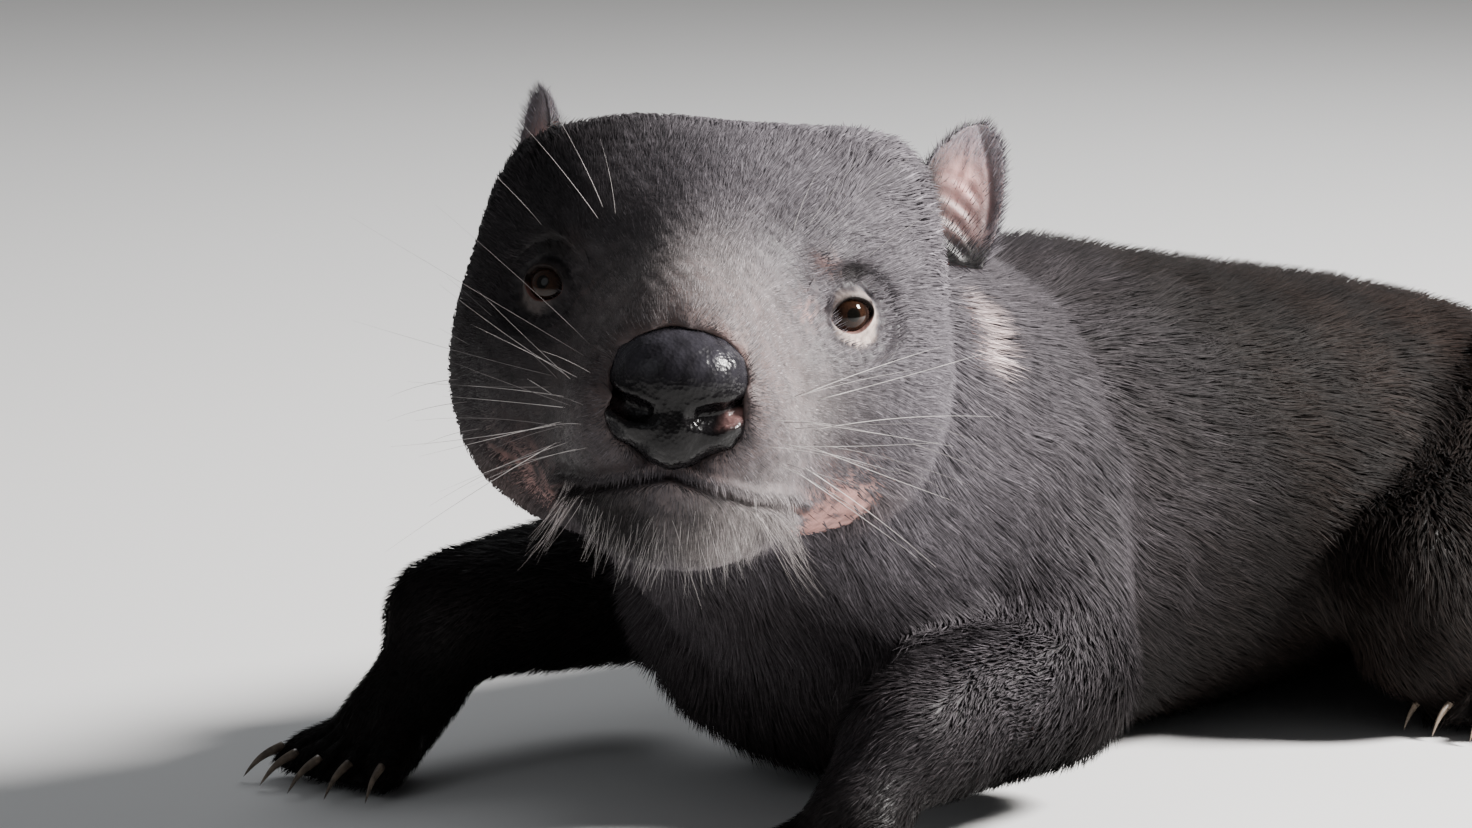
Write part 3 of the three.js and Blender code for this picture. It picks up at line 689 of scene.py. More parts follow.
    # eyeball, with the clear bulge of its front
    rings, around = 56, 72
    points, maps = [], []
    for i in range(rings + 1):
        a = math.pi * i / rings
        r = EYE_SIZE - 0.05
        bulge = 0.55 * math.exp(-((math.sin(a) * EYE_SIZE / 4.6) ** 4)) if a < math.pi / 2 else 0
        for j in range(around):
            b = 2 * math.pi * j / around
            points.append(
                c + (r + bulge) * math.cos(a) * g + (r * math.sin(a)) * (math.cos(b) * outer + math.sin(b) * upper)
            )
            maps.append((0.5 + 0.5 * a / math.pi * math.cos(b), 0.5 + 0.5 * a / math.pi * math.sin(b)))
    ball = object_from(f"eyeball_{side}", from_head(np.array(points)), tube_faces(rings, around))
    bm = bmesh.new()
    bm.from_mesh(ball.data)
    layer = bm.loops.layers.uv.new("UVMap")
    for face in bm.faces:
        for loop in face.loops:
            loop[layer].uv = maps[loop.vert.index]
    bmesh.ops.remove_doubles(bm, verts=bm.verts, dist=1e-6)
    bmesh.ops.recalc_face_normals(bm, faces=bm.faces)
    bm.to_mesh(ball.data)
    bm.free()
    shade_smooth(ball.data)
    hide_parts(f"eye_{side}")

def fine_copy(node, name, voxel, rounds):
    obj = piece(name, merged_nodes([node], 0.0))
    mesh = remeshed(obj, voxel)
    relax(mesh, rounds)
    shade_smooth(mesh)
    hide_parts(node)
    return obj, mesh


# Nose pad: wet and pebbled, with a comma of a nostril on each side and a groove down the middle
NOSTRIL = [(6.5, -64, -29.5), (10.5, -62, -29), (14.5, -60, -27.5), (18, -55, -25), (19, -49, -22)]
nose, mesh = fine_copy("nose_pad", "nose", NOSE_VOXEL, 14)
p, n = places(mesh), vertex_normals(mesh)
h = to_head(p)
m = mirrored(h)
d, t = along(m, NOSTRIL)
size = np.interp(t, (0, 0.3, 0.6, 1), (2.4, 2.9, 2.0, 1.2))
push = -np.interp(t, (0, 0.3, 0.6, 1), (1.2, 1.8, 1.0, 0.4)) * np.exp(-((d / size) ** 2))
push += 0.45 * np.exp(-(((d - size - 1.5) / 1.3) ** 2))
groove, along_it = along(h, [(0, -68, -27), (0, -67, -34), (0, -62, -43)])
push -= np.interp(along_it, (0, 0.3, 1), (0.1, 0.9, 0.8)) * np.exp(-((groove / 0.8) ** 2))
push += 0.05 * waves(p, 3.0, 33) + 0.8 * smooth(-57, -51, h[:, 1])
set_places(mesh, p + n * (push * MM)[:, None])
h = to_head(places(mesh))
m = mirrored(h)
d, t = along(m, NOSTRIL)
colour = np.tile(np.array((0.004, 0.0035, 0.004)), (len(h), 1))
# painted reflection: the top of the nose pad is painted lighter and bluish, a sky sheen; the real pad is black all
# over
top = smooth(-24, -12, h[:, 2]) * (0.75 + 0.25 * waves(places(mesh), 6, 71))
colour = toward(colour, np.array((0.036, 0.034, 0.042)), top)
below = smooth(0.5, -1.5, m[:, 2] - np.interp(m[:, 0], (6, 18), (-29.5, -25)))
flesh = np.exp(-(((d - 1.5) / 1.2) ** 2)) * below * smooth(10, 13, m[:, 0])
# painted shade: the pink of the nostril on the animal's right side is nearly taken out
flesh *= 0.08 + 0.92 * smooth(-4, 4, h[:, 0])
colour = toward(colour, np.array((0.36, 0.20, 0.19)), flesh * 0.9)
# painted shade: the nostril dents are painted near black, as if they were deep holes
inside = np.exp(-((along(m, NOSTRIL[:4])[0] / 1.5) ** 2))
colour = toward(colour, np.array((0.002, 0.001, 0.001)), inside * 1.2)
paint(mesh, colour)

# Ears: thin cups, pink in the middle and creased within, furred behind and along the edge
EAR_FACE = {"left": (0.66, -0.74, 0.1), "right": (-0.93, -0.35, 0.1)}
EAR_BASE = {"left": (63, 46, 24), "right": (-52, 47, 22)}
EAR_UP = {"left": (0.12, 0.22, 0.97), "right": (0.02, 0.2, 0.98)}
EAR_HEIGHT, EAR_HALF_WIDTH = 39.6, 19
EAR_BACK, EAR_INSIDE, EAR_PINK, EAR_RIM = (
    np.array(c) for c in ((0.040, 0.032, 0.034), (0.15, 0.092, 0.090), (0.62, 0.34, 0.32), (0.16, 0.125, 0.14))
)


def ear_places(side, p, n):
    """Across and up an ear, how far inside its edge, and how much a place faces the cup's opening."""
    k = dict(SIDES)[side]
    face, upward = unit(np.array(EAR_FACE[side])), unit(np.array(EAR_UP[side]))
    rel = to_head(p) - np.array(EAR_BASE[side])
    u, v = k * (rel @ unit(np.cross(upward, face))), rel @ upward
    t = np.clip(v / EAR_HEIGHT + 0.2, 0, 1)
    edge = EAR_HALF_WIDTH * (1 - t) ** 0.62 * (0.7 + 1.1 * t - 0.3 * t**2) - np.abs(u)
    return u, v, edge, (n @ HEAD) @ face


ears = {}
for side, k in SIDES:
    ear, mesh = fine_copy(f"ear_{side}", f"ear_skin_{side}", EAR_VOXEL, 6)
    ears[side] = (ear, mesh)
    p, n = places(mesh), vertex_normals(mesh)
    u, v, edge, outward = ear_places(side, p, n)
    inner = smooth(0.0, 0.5, outward)
    folds = np.sin(v * 1.15 + 0.05 * u**2) * smooth(20, 12, v) * smooth(10, 5, np.abs(u - 1))
    groove = np.exp(-(((edge - 2.6) / 1.0) ** 2)) * smooth(0, 6, v)
    ridge = np.exp(-(((u + 0.16 * (v - 12) - 4) / 1.5) ** 2)) * smooth(8, 14, v) * smooth(32, 22, v)
    cup = np.exp(-(((u + 2) / 6) ** 2) - (((v - 6) / 7) ** 2))
    push = inner * (0.4 * folds - 0.55 * groove + 0.5 * ridge - 0.9 * cup)
    set_places(mesh, p + n * (push * MM)[:, None])
    vein = 0.5 + 0.5 * waves(p, 9, 41)
    pink = np.exp(-(((u - 3) / 6) ** 2) - (((v - 12) / 8) ** 2))
    colour = np.tile(EAR_INSIDE, (len(p), 1))
    colour = toward(colour, EAR_RIM, smooth(16, 26, v))
    colour = toward(colour, EAR_PINK, pink * (0.7 + 0.5 * vein))
    colour = toward(colour, EAR_RIM * 0.6, smooth(4, 1, edge) * 0.8)
    # painted shade: the hollow of the cup is painted near black; the base of the ear and one side edge low down are
    # darkened to black too
    colour = toward(colour, BLACK, cup * 0.85 + smooth(2, -4, v) + smooth(-3, -9, u) * smooth(20, 10, v) * 0.9)
    colour = toward(colour, EAR_BACK, 1 - inner)
    colour = toward(colour, EAR_PINK * 0.8, inner * groove * pink * 0.5)
    paint(mesh, colour)


# Claws: curved and tapered, rooted in the toes
CLAW_SIDES, CLAW_STEPS = 12, 11
claws = []
for foot in FEET:
    for node_name in claws_of(foot):
        p = places(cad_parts[node_name].data)
        tip = p[np.argmax(np.linalg.norm(p - node_middle(foot), axis=1))]
        span = np.linalg.norm(p - tip, axis=1)
        rear = p[span > 0.75 * span.max()]
        axis = unit(tip - rear.mean(axis=0))
        root = rear.mean(axis=0) - axis * 4.5 * MM
        thick = np.linalg.norm((rear - root) - ((rear - root) @ axis)[:, None] * axis, axis=1).mean()
        arch = unit(np.array((0, 0, 1.0)) - axis[2] * axis)
        side_way = np.cross(axis, arch)
        points, faces = [], tube_faces(CLAW_STEPS - 1, CLAW_SIDES)
        for i in range(CLAW_STEPS):
            t = i / CLAW_STEPS
            middle = root + (tip - root) * t + arch * (1.5 * MM * math.sin(math.pi * t))
            size = thick * 0.95 * (1 - t) ** 0.7
            for j in range(CLAW_SIDES):
                w = 2 * math.pi * j / CLAW_SIDES
                points.append(middle + size * (0.78 * math.cos(w) * side_way + 1.1 * math.sin(w) * arch))
        points += [tip, root]
        last = (CLAW_STEPS - 1) * CLAW_SIDES
        for j in range(CLAW_SIDES):
            after = (j + 1) % CLAW_SIDES
            faces.append((last + j, len(points) - 2, last + after))
            faces.append((j, after, len(points) - 1))
        points = np.array(points)
        points[:, 2] = np.maximum(points[:, 2], SKIN_FLOOR_GAP)
        bm = bmesh.new()
        made = [bm.verts.new(q) for q in points]
        for face in faces:
            bm.faces.new([made[i] for i in face])
        bmesh.ops.recalc_face_normals(bm, faces=bm.faces)
        mesh = bpy.data.meshes.new(f"horn_{node_name}")
        bm.to_mesh(mesh)
        bm.free()
        shade_smooth(mesh)
        claw = piece(f"horn_{node_name}", mesh)
        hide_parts(node_name)
        claws.append(claw)


# Coat


def scatter(points, triangles, amount, rng):
    """Places spread over triangles with so many to a square millimetre at each corner."""
    a, b, c = points[triangles[:, 0]], points[triangles[:, 1]], points[triangles[:, 2]]
    area = np.linalg.norm(np.cross(b - a, c - a), axis=1) / 2 / MM**2
    want = np.cumsum(area * amount[triangles].mean(axis=1))
    total = int(want[-1])
    picked = np.searchsorted(want, np.arange(total) + rng.random(total))
    picked = np.clip(picked, 0, len(triangles) - 1)
    r1, r2 = np.sqrt(rng.random(total)), rng.random(total)
    return picked, np.stack([1 - r1, r1 * (1 - r2), r1 * r2], axis=1)


def mix_corners(values, triangles, picked, shares):
    corners = values[triangles[picked]]
    if corners.ndim == 2:
        return np.sum(corners * shares, axis=1)
    return np.einsum("nkc,nk->nc", corners, shares)


KITE = np.array([(0, 1, 2), (0, 2, 3), (0, 3, 1), (1, 4, 2), (2, 4, 3), (3, 4, 1)])
SPIKE = np.array([(0, 1, 2), (0, 3, 1), (1, 3, 2), (2, 3, 0)])
PATCH = 0.0015
KITE_MAP = PATCH * np.array([(0, -1), (-1, 0.1), (0.1, -0.1), (1, 0.1), (0, 1)])
SPIKE_MAP = PATCH * np.array([(-1, -1), (0, -0.4), (1, -1), (0, 1)])


def hairs(name, roots, normals, lies, length, width, depth, colours, chart, rng, spiky):
    """One closed tapered lock for each root, that rises from the skin and then lies along it."""
    n = len(roots)
    across = np.cross(normals, lies)
    stray = waves(roots, 22, 51) * 0.22 + waves(roots, 7, 52) * 0.14 + rng.normal(size=n) * 0.10
    lies = unit(lies + across * stray[:, None])
    across = np.cross(normals, lies)
    length = (length * rng.uniform(0.7, 1.15, n) * MM)[:, None]
    width = (width * rng.uniform(0.75, 1.2, n) * MM / 2)[:, None]
    depth = (depth * rng.uniform(0.55, 1.1, n) * MM)[:, None]
    foot = roots - normals * ROOT_DEPTH
    tip = roots + lies * length * 0.97 + normals * depth
    rng.random(n)  # keeps the order of the draws
    if spiky:
        thin = 0.55
        ring = [foot - across * width, foot + normals * width * thin, foot + across * width, tip]
        pattern, flat = SPIKE, SPIKE_MAP
        shade = np.array((0.7, 0.7, 0.7, 1.15))
    else:
        middle = roots + lies * length * 0.42 + normals * depth * 0.85
        ring = [foot, middle - across * width, middle + normals * width * 0.7, middle + across * width, tip]
        pattern, flat = KITE, KITE_MAP
        shade = np.array((0.55, 0.95, 1.0, 0.95, 1.15))
    k = len(ring)
    points = np.stack(ring, axis=1)
    points[:, :, 2] = np.maximum(points[:, :, 2], FLOOR_GAP)
    tones = np.exp(rng.normal(0, TONE_SPREAD, n))[:, None, None] * shade[None, :, None] * colours[:, None, :]
    soft = np.repeat(normals, k, axis=0)
    charts = (chart[:, None, :] + flat[None]).reshape(-1, 2)
    limit = FACES_IN_PIECE // len(pattern)
    out = []
    parts = max(1, math.ceil(n / limit))
    for i in range(parts):
        lo, hi = i * n // parts, (i + 1) * n // parts
        part_points = points[lo:hi].reshape(-1, 3)
        part_faces = (pattern[None] + (np.arange(hi - lo) * k)[:, None, None]).reshape(-1, 3)
        label = name if parts == 1 else f"{name}_{i + 1}"
        mesh = bpy.data.meshes.new(label)
        mesh.vertices.add(len(part_points))
        mesh.vertices.foreach_set("co", part_points.ravel())
        mesh.loops.add(part_faces.size)
        mesh.loops.foreach_set("vertex_index", part_faces.ravel().astype(np.int32))
        mesh.polygons.add(len(part_faces))
        mesh.polygons.foreach_set("loop_start", np.arange(0, part_faces.size, 3, dtype=np.int32))
        mesh.update(calc_edges=True)
        shade_smooth(mesh)
        paint(mesh, np.clip(tones[lo:hi].reshape(-1, 3), 0, 1))
        layer = mesh.uv_layers.new(name="OFBake")
        layer.data.foreach_set("uv", charts[lo * k : hi * k][part_faces.ravel()].astype(np.float32).ravel())
        own = vertex_normals(mesh)
        mesh.normals_split_custom_set_from_vertices(unit(0.45 * own + soft[lo * k : hi * k]).tolist())
        out.append(piece(label, mesh))
    return out


def chart_of(p, region):
    """A flat map of the skin: round and along the rod of each part, each in its own strip."""
    q, h = to_body(p), to_head(p)
    out = np.empty((len(p), 2))
    strips = len(RODS) + 4
    for i, (name, a, b, *_) in enumerate(RODS):
        mine = region == i
        a, b = np.array(a, dtype=float), np.array(b, dtype=float)
        axis = b - a
        side = unit(np.cross(axis, (0.02, 0.1, 1)))
        up_side = unit(np.cross(side, axis))
        rel = q[mine] - a
        turn = np.arctan2(rel @ side, rel @ up_side) / (2 * math.pi) + 0.5
        run = np.clip(rel @ axis / (axis @ axis) * 0.6 + 0.2, 0, 1)
        out[mine] = np.stack([0.02 + 0.96 * turn, (i + 0.06 + 0.88 * run) / strips], axis=1)
    mine = region == len(RODS)
    rel = h[mine] - np.array((0, 10, -15))
    turn = np.arctan2(rel[:, 0], rel[:, 2]) / (2 * math.pi) + 0.5
    run = np.clip((rel[:, 1] + 80) / 160, 0, 1)
    out[mine] = np.stack([0.02 + 0.96 * turn, (len(RODS) + 0.1 + 3.8 * run) / strips], axis=1)
    return np.clip(out, 0.004, 0.996)


region, depth, length, width, density, lie, share = rod_field(skin_places, skin_normals)
_, fur_colour, bare = markings(skin_places)
h = to_head(skin_places)
under = smooth(0.012, 0.002, skin_places[:, 2]) * smooth(-0.2, -0.8, skin_normals[:, 2])
density = density * (1 - 0.97 * bare) * (1 - 0.85 * under)
in_nose = (np.abs(h[:, 0]) < 16) & (h[:, 1] < -50) & (h[:, 2] > -36) & (h[:, 2] < -8)
density = density * np.where(in_nose, 0.25, 1.0)
mouth, _ = along(mirrored(h), MOUTH)
density = density * smooth(0.5, 1.3, mouth)
ring, _ = eye_ring(mirrored(h))
density = np.where(ring < BARE_ROUND_EYE, 0, density)
skin_amount = density

# the lids carry hair too, outside their rims
ground = [(skin_places, skin_normals, skin_triangles, skin_amount)]
for side, _ in SIDES:
    sheet = lids[side][0].data
    lid_places, lid_normals, lid_triangles = places(sheet), vertex_normals(sheet), triangles_of(sheet)
    ring, _ = eye_ring(mirrored(to_head(lid_places)))
    lid_amount = np.where(
        (ring > LID_HAIR_FROM) & (ring < LID_HAIR_TO), 3.0 * smooth(LID_HAIR_FROM, 9.6, ring), 0
    )
    ground.append((lid_places, lid_normals, lid_triangles, lid_amount))
starts = np.cumsum([0] + [len(g[0]) for g in ground])[:-1]
skin_places = np.concatenate([g[0] for g in ground])
skin_normals = np.concatenate([g[1] for g in ground])
skin_triangles = np.concatenate([g[2] + start for g, start in zip(ground, starts)])
density = np.concatenate([g[3] for g in ground])
region, depth, length, width, _, lie, share = rod_field(skin_places, skin_normals)
_, fur_colour, _ = markings(skin_places)
rng = np.random.default_rng(COAT_SEED)
picked, shares = scatter(skin_places, skin_triangles, density, rng)
values = [
    mix_corners(v, skin_triangles, picked, shares)
    for v in (skin_places, unit(skin_normals), lie, length, width, depth, fur_colour, share)
]
roots, root_normals, root_lies, root_length, root_width, root_depth, root_colour, root_share = values
root_normals = unit(root_normals)
root_lies = along_surface(root_lies, root_normals)
root_region = region[skin_triangles[picked, 0]]
root_chart = chart_of(roots, root_region)
hh = to_head(roots)
fine = (root_share > 0.5) & (hh[:, 1] < 24)
groups = {"coat_face": fine, "coat_head": (root_share > 0.5) & ~fine}
names = np.array([r[0] for r in RODS] + ["head"])[root_region]
rest = ~(root_share > 0.5)
for label in sorted(set(r[0] for r in RODS)):
    groups[f"coat_{label}"] = rest & (names == label)
groups["coat_neck"] |= rest & (names == "head")
coat = []
grown = (roots, root_normals, root_lies, root_length, root_width, root_depth, root_colour, root_chart)
for label, mine in groups.items():
    index = np.nonzero(mine)[0]
    if len(index) == 0:
        continue
    order = np.argsort(hh[index, 0] if "face" in label or "head" in label else roots[index, 1], kind="stable")
    index = index[order]
    coat += hairs(label, *(values[index] for values in grown), rng, label != "coat_head")

# Ear fur: short and dense behind the ear, thin within, with a pale fringe on the edge
for side, k in SIDES:
    ear, mesh = ears[side]
    p, n, tri = places(mesh), vertex_normals(mesh), triangles_of(mesh)
    u, v, edge, outward = ear_places(side, p, n)
    inside = 0.22 + 1.8 * smooth(3.5, 1.0, edge) + 0.9 * smooth(16, 26, v) + 1.2 * smooth(-3, -9, u) + smooth(4, -2, v)
    amount = np.where(outward < 0.1, 2.4, inside)
    picked, shares = scatter(p, tri, amount, rng)
    r = mix_corners(p, tri, picked, shares)
    rn = unit(mix_corners(n, tri, picked, shares))
    u, v, edge, outward = ear_places(side, r, rn)
    sweep = np.array(EAR_UP[side])[None] + 0.05 * u[:, None] * k * np.cross(EAR_UP[side], EAR_FACE[side])[None]
    lie_w = unit(sweep) @ HEAD.T
    lie_w = along_surface(lie_w, rn)
    size = np.interp(v, (-5, 10, 40), (7, 5, 3.4))
    colour = np.tile(LILAC * 0.55, (len(r), 1))
    colour = toward(colour, LILAC * 1.9, smooth(0.0, 0.4, outward) * smooth(8, 20, v) + smooth(3, 1, edge) * 0.6)
    chart = np.clip(np.stack([0.5 + 0.45 * np.sign(outward) * (u + 22) / 44, (v + 20) / 90], axis=1), 0.01, 0.99)
    coat += hairs(
        f"coat_ear_{side}", r, rn, lie_w, size, np.full(len(r), 0.3), np.full(len(r), 0.9), colour, chart, rng, True
    )


# Whiskers, bristles and the long pale hairs at the lower lip
STRAND_SIDES, STRAND_STEPS = 5, 9


def strands(name, rows):
    """Thin tapered closed tubes, each given by its places in metres, its radius and its colour."""
    points, faces, colours, charts = [], [], [], []
    turn = [2 * math.pi * j / STRAND_SIDES for j in range(STRAND_SIDES)]
    for line, radius, colour in rows:
        line = np.array(line)
        start = len(points)
        origin = chart_of(line[:1], np.array([len(RODS)]))[0]
        for i, q in enumerate(line):
            d = unit(line[min(i + 1, len(line) - 1)] - line[max(i - 1, 0)])
            a = unit(np.cross(d, (0.3, 0.2, 1.0)))
            b = np.cross(d, a)
            r = radius * (1 - 0.85 * i / (len(line) - 1))
            points += [q + r * (math.cos(w) * a + math.sin(w) * b) for w in turn]
            colours += [colour] * STRAND_SIDES
        for i in range(len(line) - 1):
            for j in range(STRAND_SIDES):
                low, high = start + i * STRAND_SIDES, start + (i + 1) * STRAND_SIDES
                after = (j + 1) % STRAND_SIDES
                faces.append((low + j, low + after, high + after, high + j))
                x0, x1 = j / STRAND_SIDES, (j + 1) / STRAND_SIDES
                y0, y1 = i / (len(line) - 1), (i + 1) / (len(line) - 1)
                charts += [origin + PATCH * (2 * np.array(c) - 1) for c in ((x0, y0), (x1, y0), (x1, y1), (x0, y1))]
        top = start + (len(line) - 1) * STRAND_SIDES
        faces.append(tuple(start + j for j in reversed(range(STRAND_SIDES))))
        faces.append(tuple(top + j for j in range(STRAND_SIDES)))
        for order in (turn[::-1], turn):
            charts += [origin + 0.4 * PATCH * np.array((math.cos(w), math.sin(w))) for w in order]
    mesh = bpy.data.meshes.new(name)
    mesh.from_pydata([tuple(q) for q in points], [], faces)
    mesh.update()
    shade_smooth(mesh)
    paint(mesh, np.array(colours))
    mesh.uv_layers.new(name="OFBake").data.foreach_set("uv", np.array(charts, dtype=np.float32).ravel())
    return piece(name, mesh)


def strand_line(root, direction, length, sag, curl):
    """Places along one strand from near a head place, bending one way and sagging as it goes."""
    start = from_head(np.array([root]))[0]
    inward = unit(from_head(np.array([(0, 10, -18.0)]))[0] - start)
    hit = skin_tree.ray_cast(Vector(start - inward * 0.03), Vector(inward), 0.09)
    if hit[0] is None:
        return None
    base = np.array(hit[0]) - np.array(hit[1]) * ROOT_DEPTH
    d, bend = HEAD @ unit(np.array(direction, dtype=float)), HEAD @ unit(np.array(curl, dtype=float))
    t = np.linspace(0, 1, STRAND_STEPS)[:, None]
    out = base + (d * t + bend * 0.30 * t * t) * length * MM
    out[:, 2] -= sag * MM * t[:, 0] ** 2
    return out


WHISKER_PALE, WHISKER_GREY = np.array((0.62, 0.58, 0.57)), np.array((0.20, 0.18, 0.18))
rng = np.random.default_rng(STRAND_SEED)
whiskers, bristles, lip_hairs = [], [], []
BROW_WHISKERS = ((27, -10, 17, 33, 0.75), (25, -8, 18, 29, 0.45), (22, -10, 17, 20, 0.15), (41, 0, 13, 21, 0.9))
CHEEK_WHISKERS = ((60, 8, -34, 30), (62, 14, -28, 26), (58, 6, -42, 22))
for side, k in SIDES:
    for row in range(4):
        for column in range(5):
            root = (
                k * (23 + column * 2.8),
                -50 + column * 7.0 + rng.uniform(-2, 2),
                -22 - row * 6.0 - column * 0.5 + rng.uniform(-1.5, 1.5),
            )
            size = 20 + column * 8 + rng.uniform(-5, 9)
            way = (
                k * (0.95 - 0.05 * column),
                -0.12 + 0.15 * column + rng.uniform(-0.24, 0.24),
                0.40 - row * 0.26 + rng.uniform(-0.2, 0.2),
            )
            line = strand_line(root, way, size, 2 + size * 0.05, (0, 1, rng.uniform(-0.2, 0.5)))
            tone = WHISKER_GREY if rng.random() < 0.3 else WHISKER_PALE
            whiskers.append((line, 0.000075 + 0.000012 * column, tone))
    for x, y, z, size, lean in BROW_WHISKERS:
        line = strand_line((k * x, y, z), (k * lean, -0.1, 0.9), size, 0.5, (k * 0.5, 0.9, 0.1))
        whiskers.append((line, 0.000075, WHISKER_PALE * 0.85))
    for x, y, z, size in CHEEK_WHISKERS:
        line = strand_line((k * x, y, z), (k * 0.8, 0.5, -0.15), size, 3.0, (0, 1, -0.1))
        whiskers.append((line, 0.00009, WHISKER_GREY))
    for i in range(150):
        root = (k * rng.uniform(0, 26), rng.uniform(-54, -22), rng.uniform(-74, -51))
        size = rng.uniform(4, 9) if i > 9 else rng.uniform(9, 13)
        way = (k * 0.2 + rng.uniform(-0.25, 0.25), -0.25 + rng.uniform(-0.2, 0.2), -0.8)
        line = strand_line(root, way, size, 0.5, (0, 1, -0.4))
        bristles.append((line, 0.00006, WHISKER_PALE * rng.uniform(0.3, 0.9)))
    # hairs of the lower lip that sweep down and back to a common point
    for i in range(90 if k > 0 else 34):
        t = rng.random()
        root = np.array((22 + 9 * t, -37 + 17 * t, -51.5)) + rng.uniform(-1.6, 1.6, 3)
        goal = np.array((33, -17, -70)) + rng.uniform(-3.5, 3.5, 3) * (1, 1, 1.4)
        reach = (goal - root) * rng.uniform(0.6, 1.0)
        size = float(np.linalg.norm(reach))
        line = strand_line(root * (k, 1, 1), reach * (k, 1, 1), size, 1.0, (k * 0.6, -0.5, -0.2))
        lip_hairs.append((line, 0.00008, SILVER * rng.uniform(0.7, 1.9)))
LONG_WHISKERS = (
    ((-25, -40, -14), (-0.78, 0.05, 0.62), 48),
    ((-27, -40, -17), (-0.90, 0.05, 0.42), 62),
    ((-37, -22, -24), (-0.95, 0.20, 0.12), 50),
    ((-37, -22, -27), (-0.93, 0.25, -0.12), 36),
)
for root, way, size in LONG_WHISKERS:
    whiskers.append((strand_line(root, way, size, 1.5, (-0.2, 0.3, 0.1)), 0.00009, WHISKER_GREY))
strand_pieces = [
    strands(name, [row for row in rows if row[0] is not None])
    for name, rows in (("whiskers", whiskers), ("bristles", bristles), ("lip_hairs", lip_hairs))
]


# Materials


def material(name):
    out = bpy.data.materials.new(name)
    out.use_nodes = True
    tree = out.node_tree
    shader = tree.nodes["Principled BSDF"]
    return out, tree, shader


def node(tree, kind, **inputs):
    out = tree.nodes.new(kind)
    for key, value in inputs.items():
        if key in out.inputs:
            out.inputs[key].default_value = value
        else:
            setattr(out, key, value)
    return out


def noise(tree, scale, detail=3.0, rough=0.55):
    place = tree.nodes.new("ShaderNodeTexCoord")
    out = node(tree, "ShaderNodeTexNoise", Scale=scale, Detail=detail, Roughness=rough)
    tree.links.new(place.outputs["Object"], out.inputs["Vector"])
    return out.outputs["Fac"]


def cells(tree, scale):
    place = tree.nodes.new("ShaderNodeTexCoord")
    out = node(tree, "ShaderNodeTexVoronoi", Scale=scale)
    tree.links.new(place.outputs["Object"], out.inputs["Vector"])
    return out.outputs["Distance"]


def remap(tree, value, low, high, to_low, to_high):
    out = tree.nodes.new("ShaderNodeMapRange")
    for i, number in zip((1, 2, 3, 4), (low, high, to_low, to_high)):
        out.inputs[i].default_value = number
    tree.links.new(value, out.inputs[0])
    return out.outputs[0]


def scaled(tree, colour, factor):
    out = tree.nodes.new("ShaderNodeVectorMath")
    out.operation = "SCALE"
    tree.links.new(colour, out.inputs[0])
    tree.links.new(factor, out.inputs["Scale"])
    return out.outputs[0]


def attribute(tree, name):
    out = tree.nodes.new("ShaderNodeAttribute")
    out.attribute_name = name
    return out


def bump(tree, shader, *layers):
    """Adds bumps on bumps: each layer is a height, a strength and a distance in metres."""
    last = None
    for height, strength, distance in layers:
        out = node(tree, "ShaderNodeBump", Strength=strength, Distance=distance)
        tree.links.new(height, out.inputs["Height"])
        if last is not None:
            tree.links.new(last, out.inputs["Normal"])
        last = out.outputs["Normal"]
    tree.links.new(last, shader.inputs["Normal"])


def set_inputs(shader, *pairs):
    for name, value in pairs:
        shader.inputs[name].default_value = value


def tint_into(tree, shader, *speckle):
    """The painted colour, made lighter and darker by a noise: its scale and detail, and the range of the change."""
    colour = attribute(tree, "tint").outputs["Color"]
    if speckle:
        scale, detail, rough, low, high = speckle
        colour = scaled(tree, colour, remap(tree, noise(tree, scale, detail, rough), 0.3, 0.7, low, high))
    tree.links.new(colour, shader.inputs["Base Color"])


def roughness_into(tree, shader, scale, detail, low, high):
    tree.links.new(remap(tree, noise(tree, scale, detail), 0.3, 0.7, low, high), shader.inputs["Roughness"])


def dress(obj, mat):
    obj.data.materials.clear()
    obj.data.materials.append(mat)


skin_material, tree, shader = material("skin")
tint_into(tree, shader, 160, 5, 0.6, 0.6, 1.35)
roughness_into(tree, shader, 900, 3, 0.42, 0.62)
set_inputs(
    shader,
    ("Sheen Weight", 0.01),
    ("Specular IOR Level", 0.18),
    ("Sheen Roughness", 0.4),
    ("Sheen Tint", (0.75, 0.72, 0.78, 1)),
    ("Subsurface Weight", 0.06),
    ("Subsurface Radius", (0.004, 0.0015, 0.001)),
)
bump(
    tree,
    shader,
    (noise(tree, 420, 4), 0.3, 0.0005),
    (cells(tree, 1300), 0.25, 0.0003),
    (noise(tree, 2600, 2), 0.3, 0.00018),
)

fur_material, tree, shader = material("fur")
tint_into(tree, shader, 700, 2, 0.55, 0.7, 1.3)
roughness_into(tree, shader, 400, 2, 0.48, 0.66)
set_inputs(shader, ("Specular IOR Level", 0.06))

nose_material, tree, shader = material("wet nose")
tint_into(tree, shader)
roughness_into(tree, shader, 500, 3, 0.16, 0.34)
set_inputs(shader, ("IOR", 1.28), ("Coat Weight", 0.05), ("Coat Roughness", 0.08))
bump(tree, shader, (cells(tree, 900), 0.35, 0.0004), (noise(tree, 300, 3), 0.25, 0.0006))

ear_material, tree, shader = material("ear skin")
tint_into(tree, shader, 260, 4, 0.55, 0.7, 1.25)
set_inputs(
    shader,
    ("Roughness", 0.5),
    ("Subsurface Weight", 0.35),
    ("Subsurface Radius", (0.004, 0.0012, 0.0008)),
)
bump(tree, shader, (noise(tree, 500, 4), 0.4, 0.0005), (noise(tree, 1800, 2), 0.3, 0.0002))

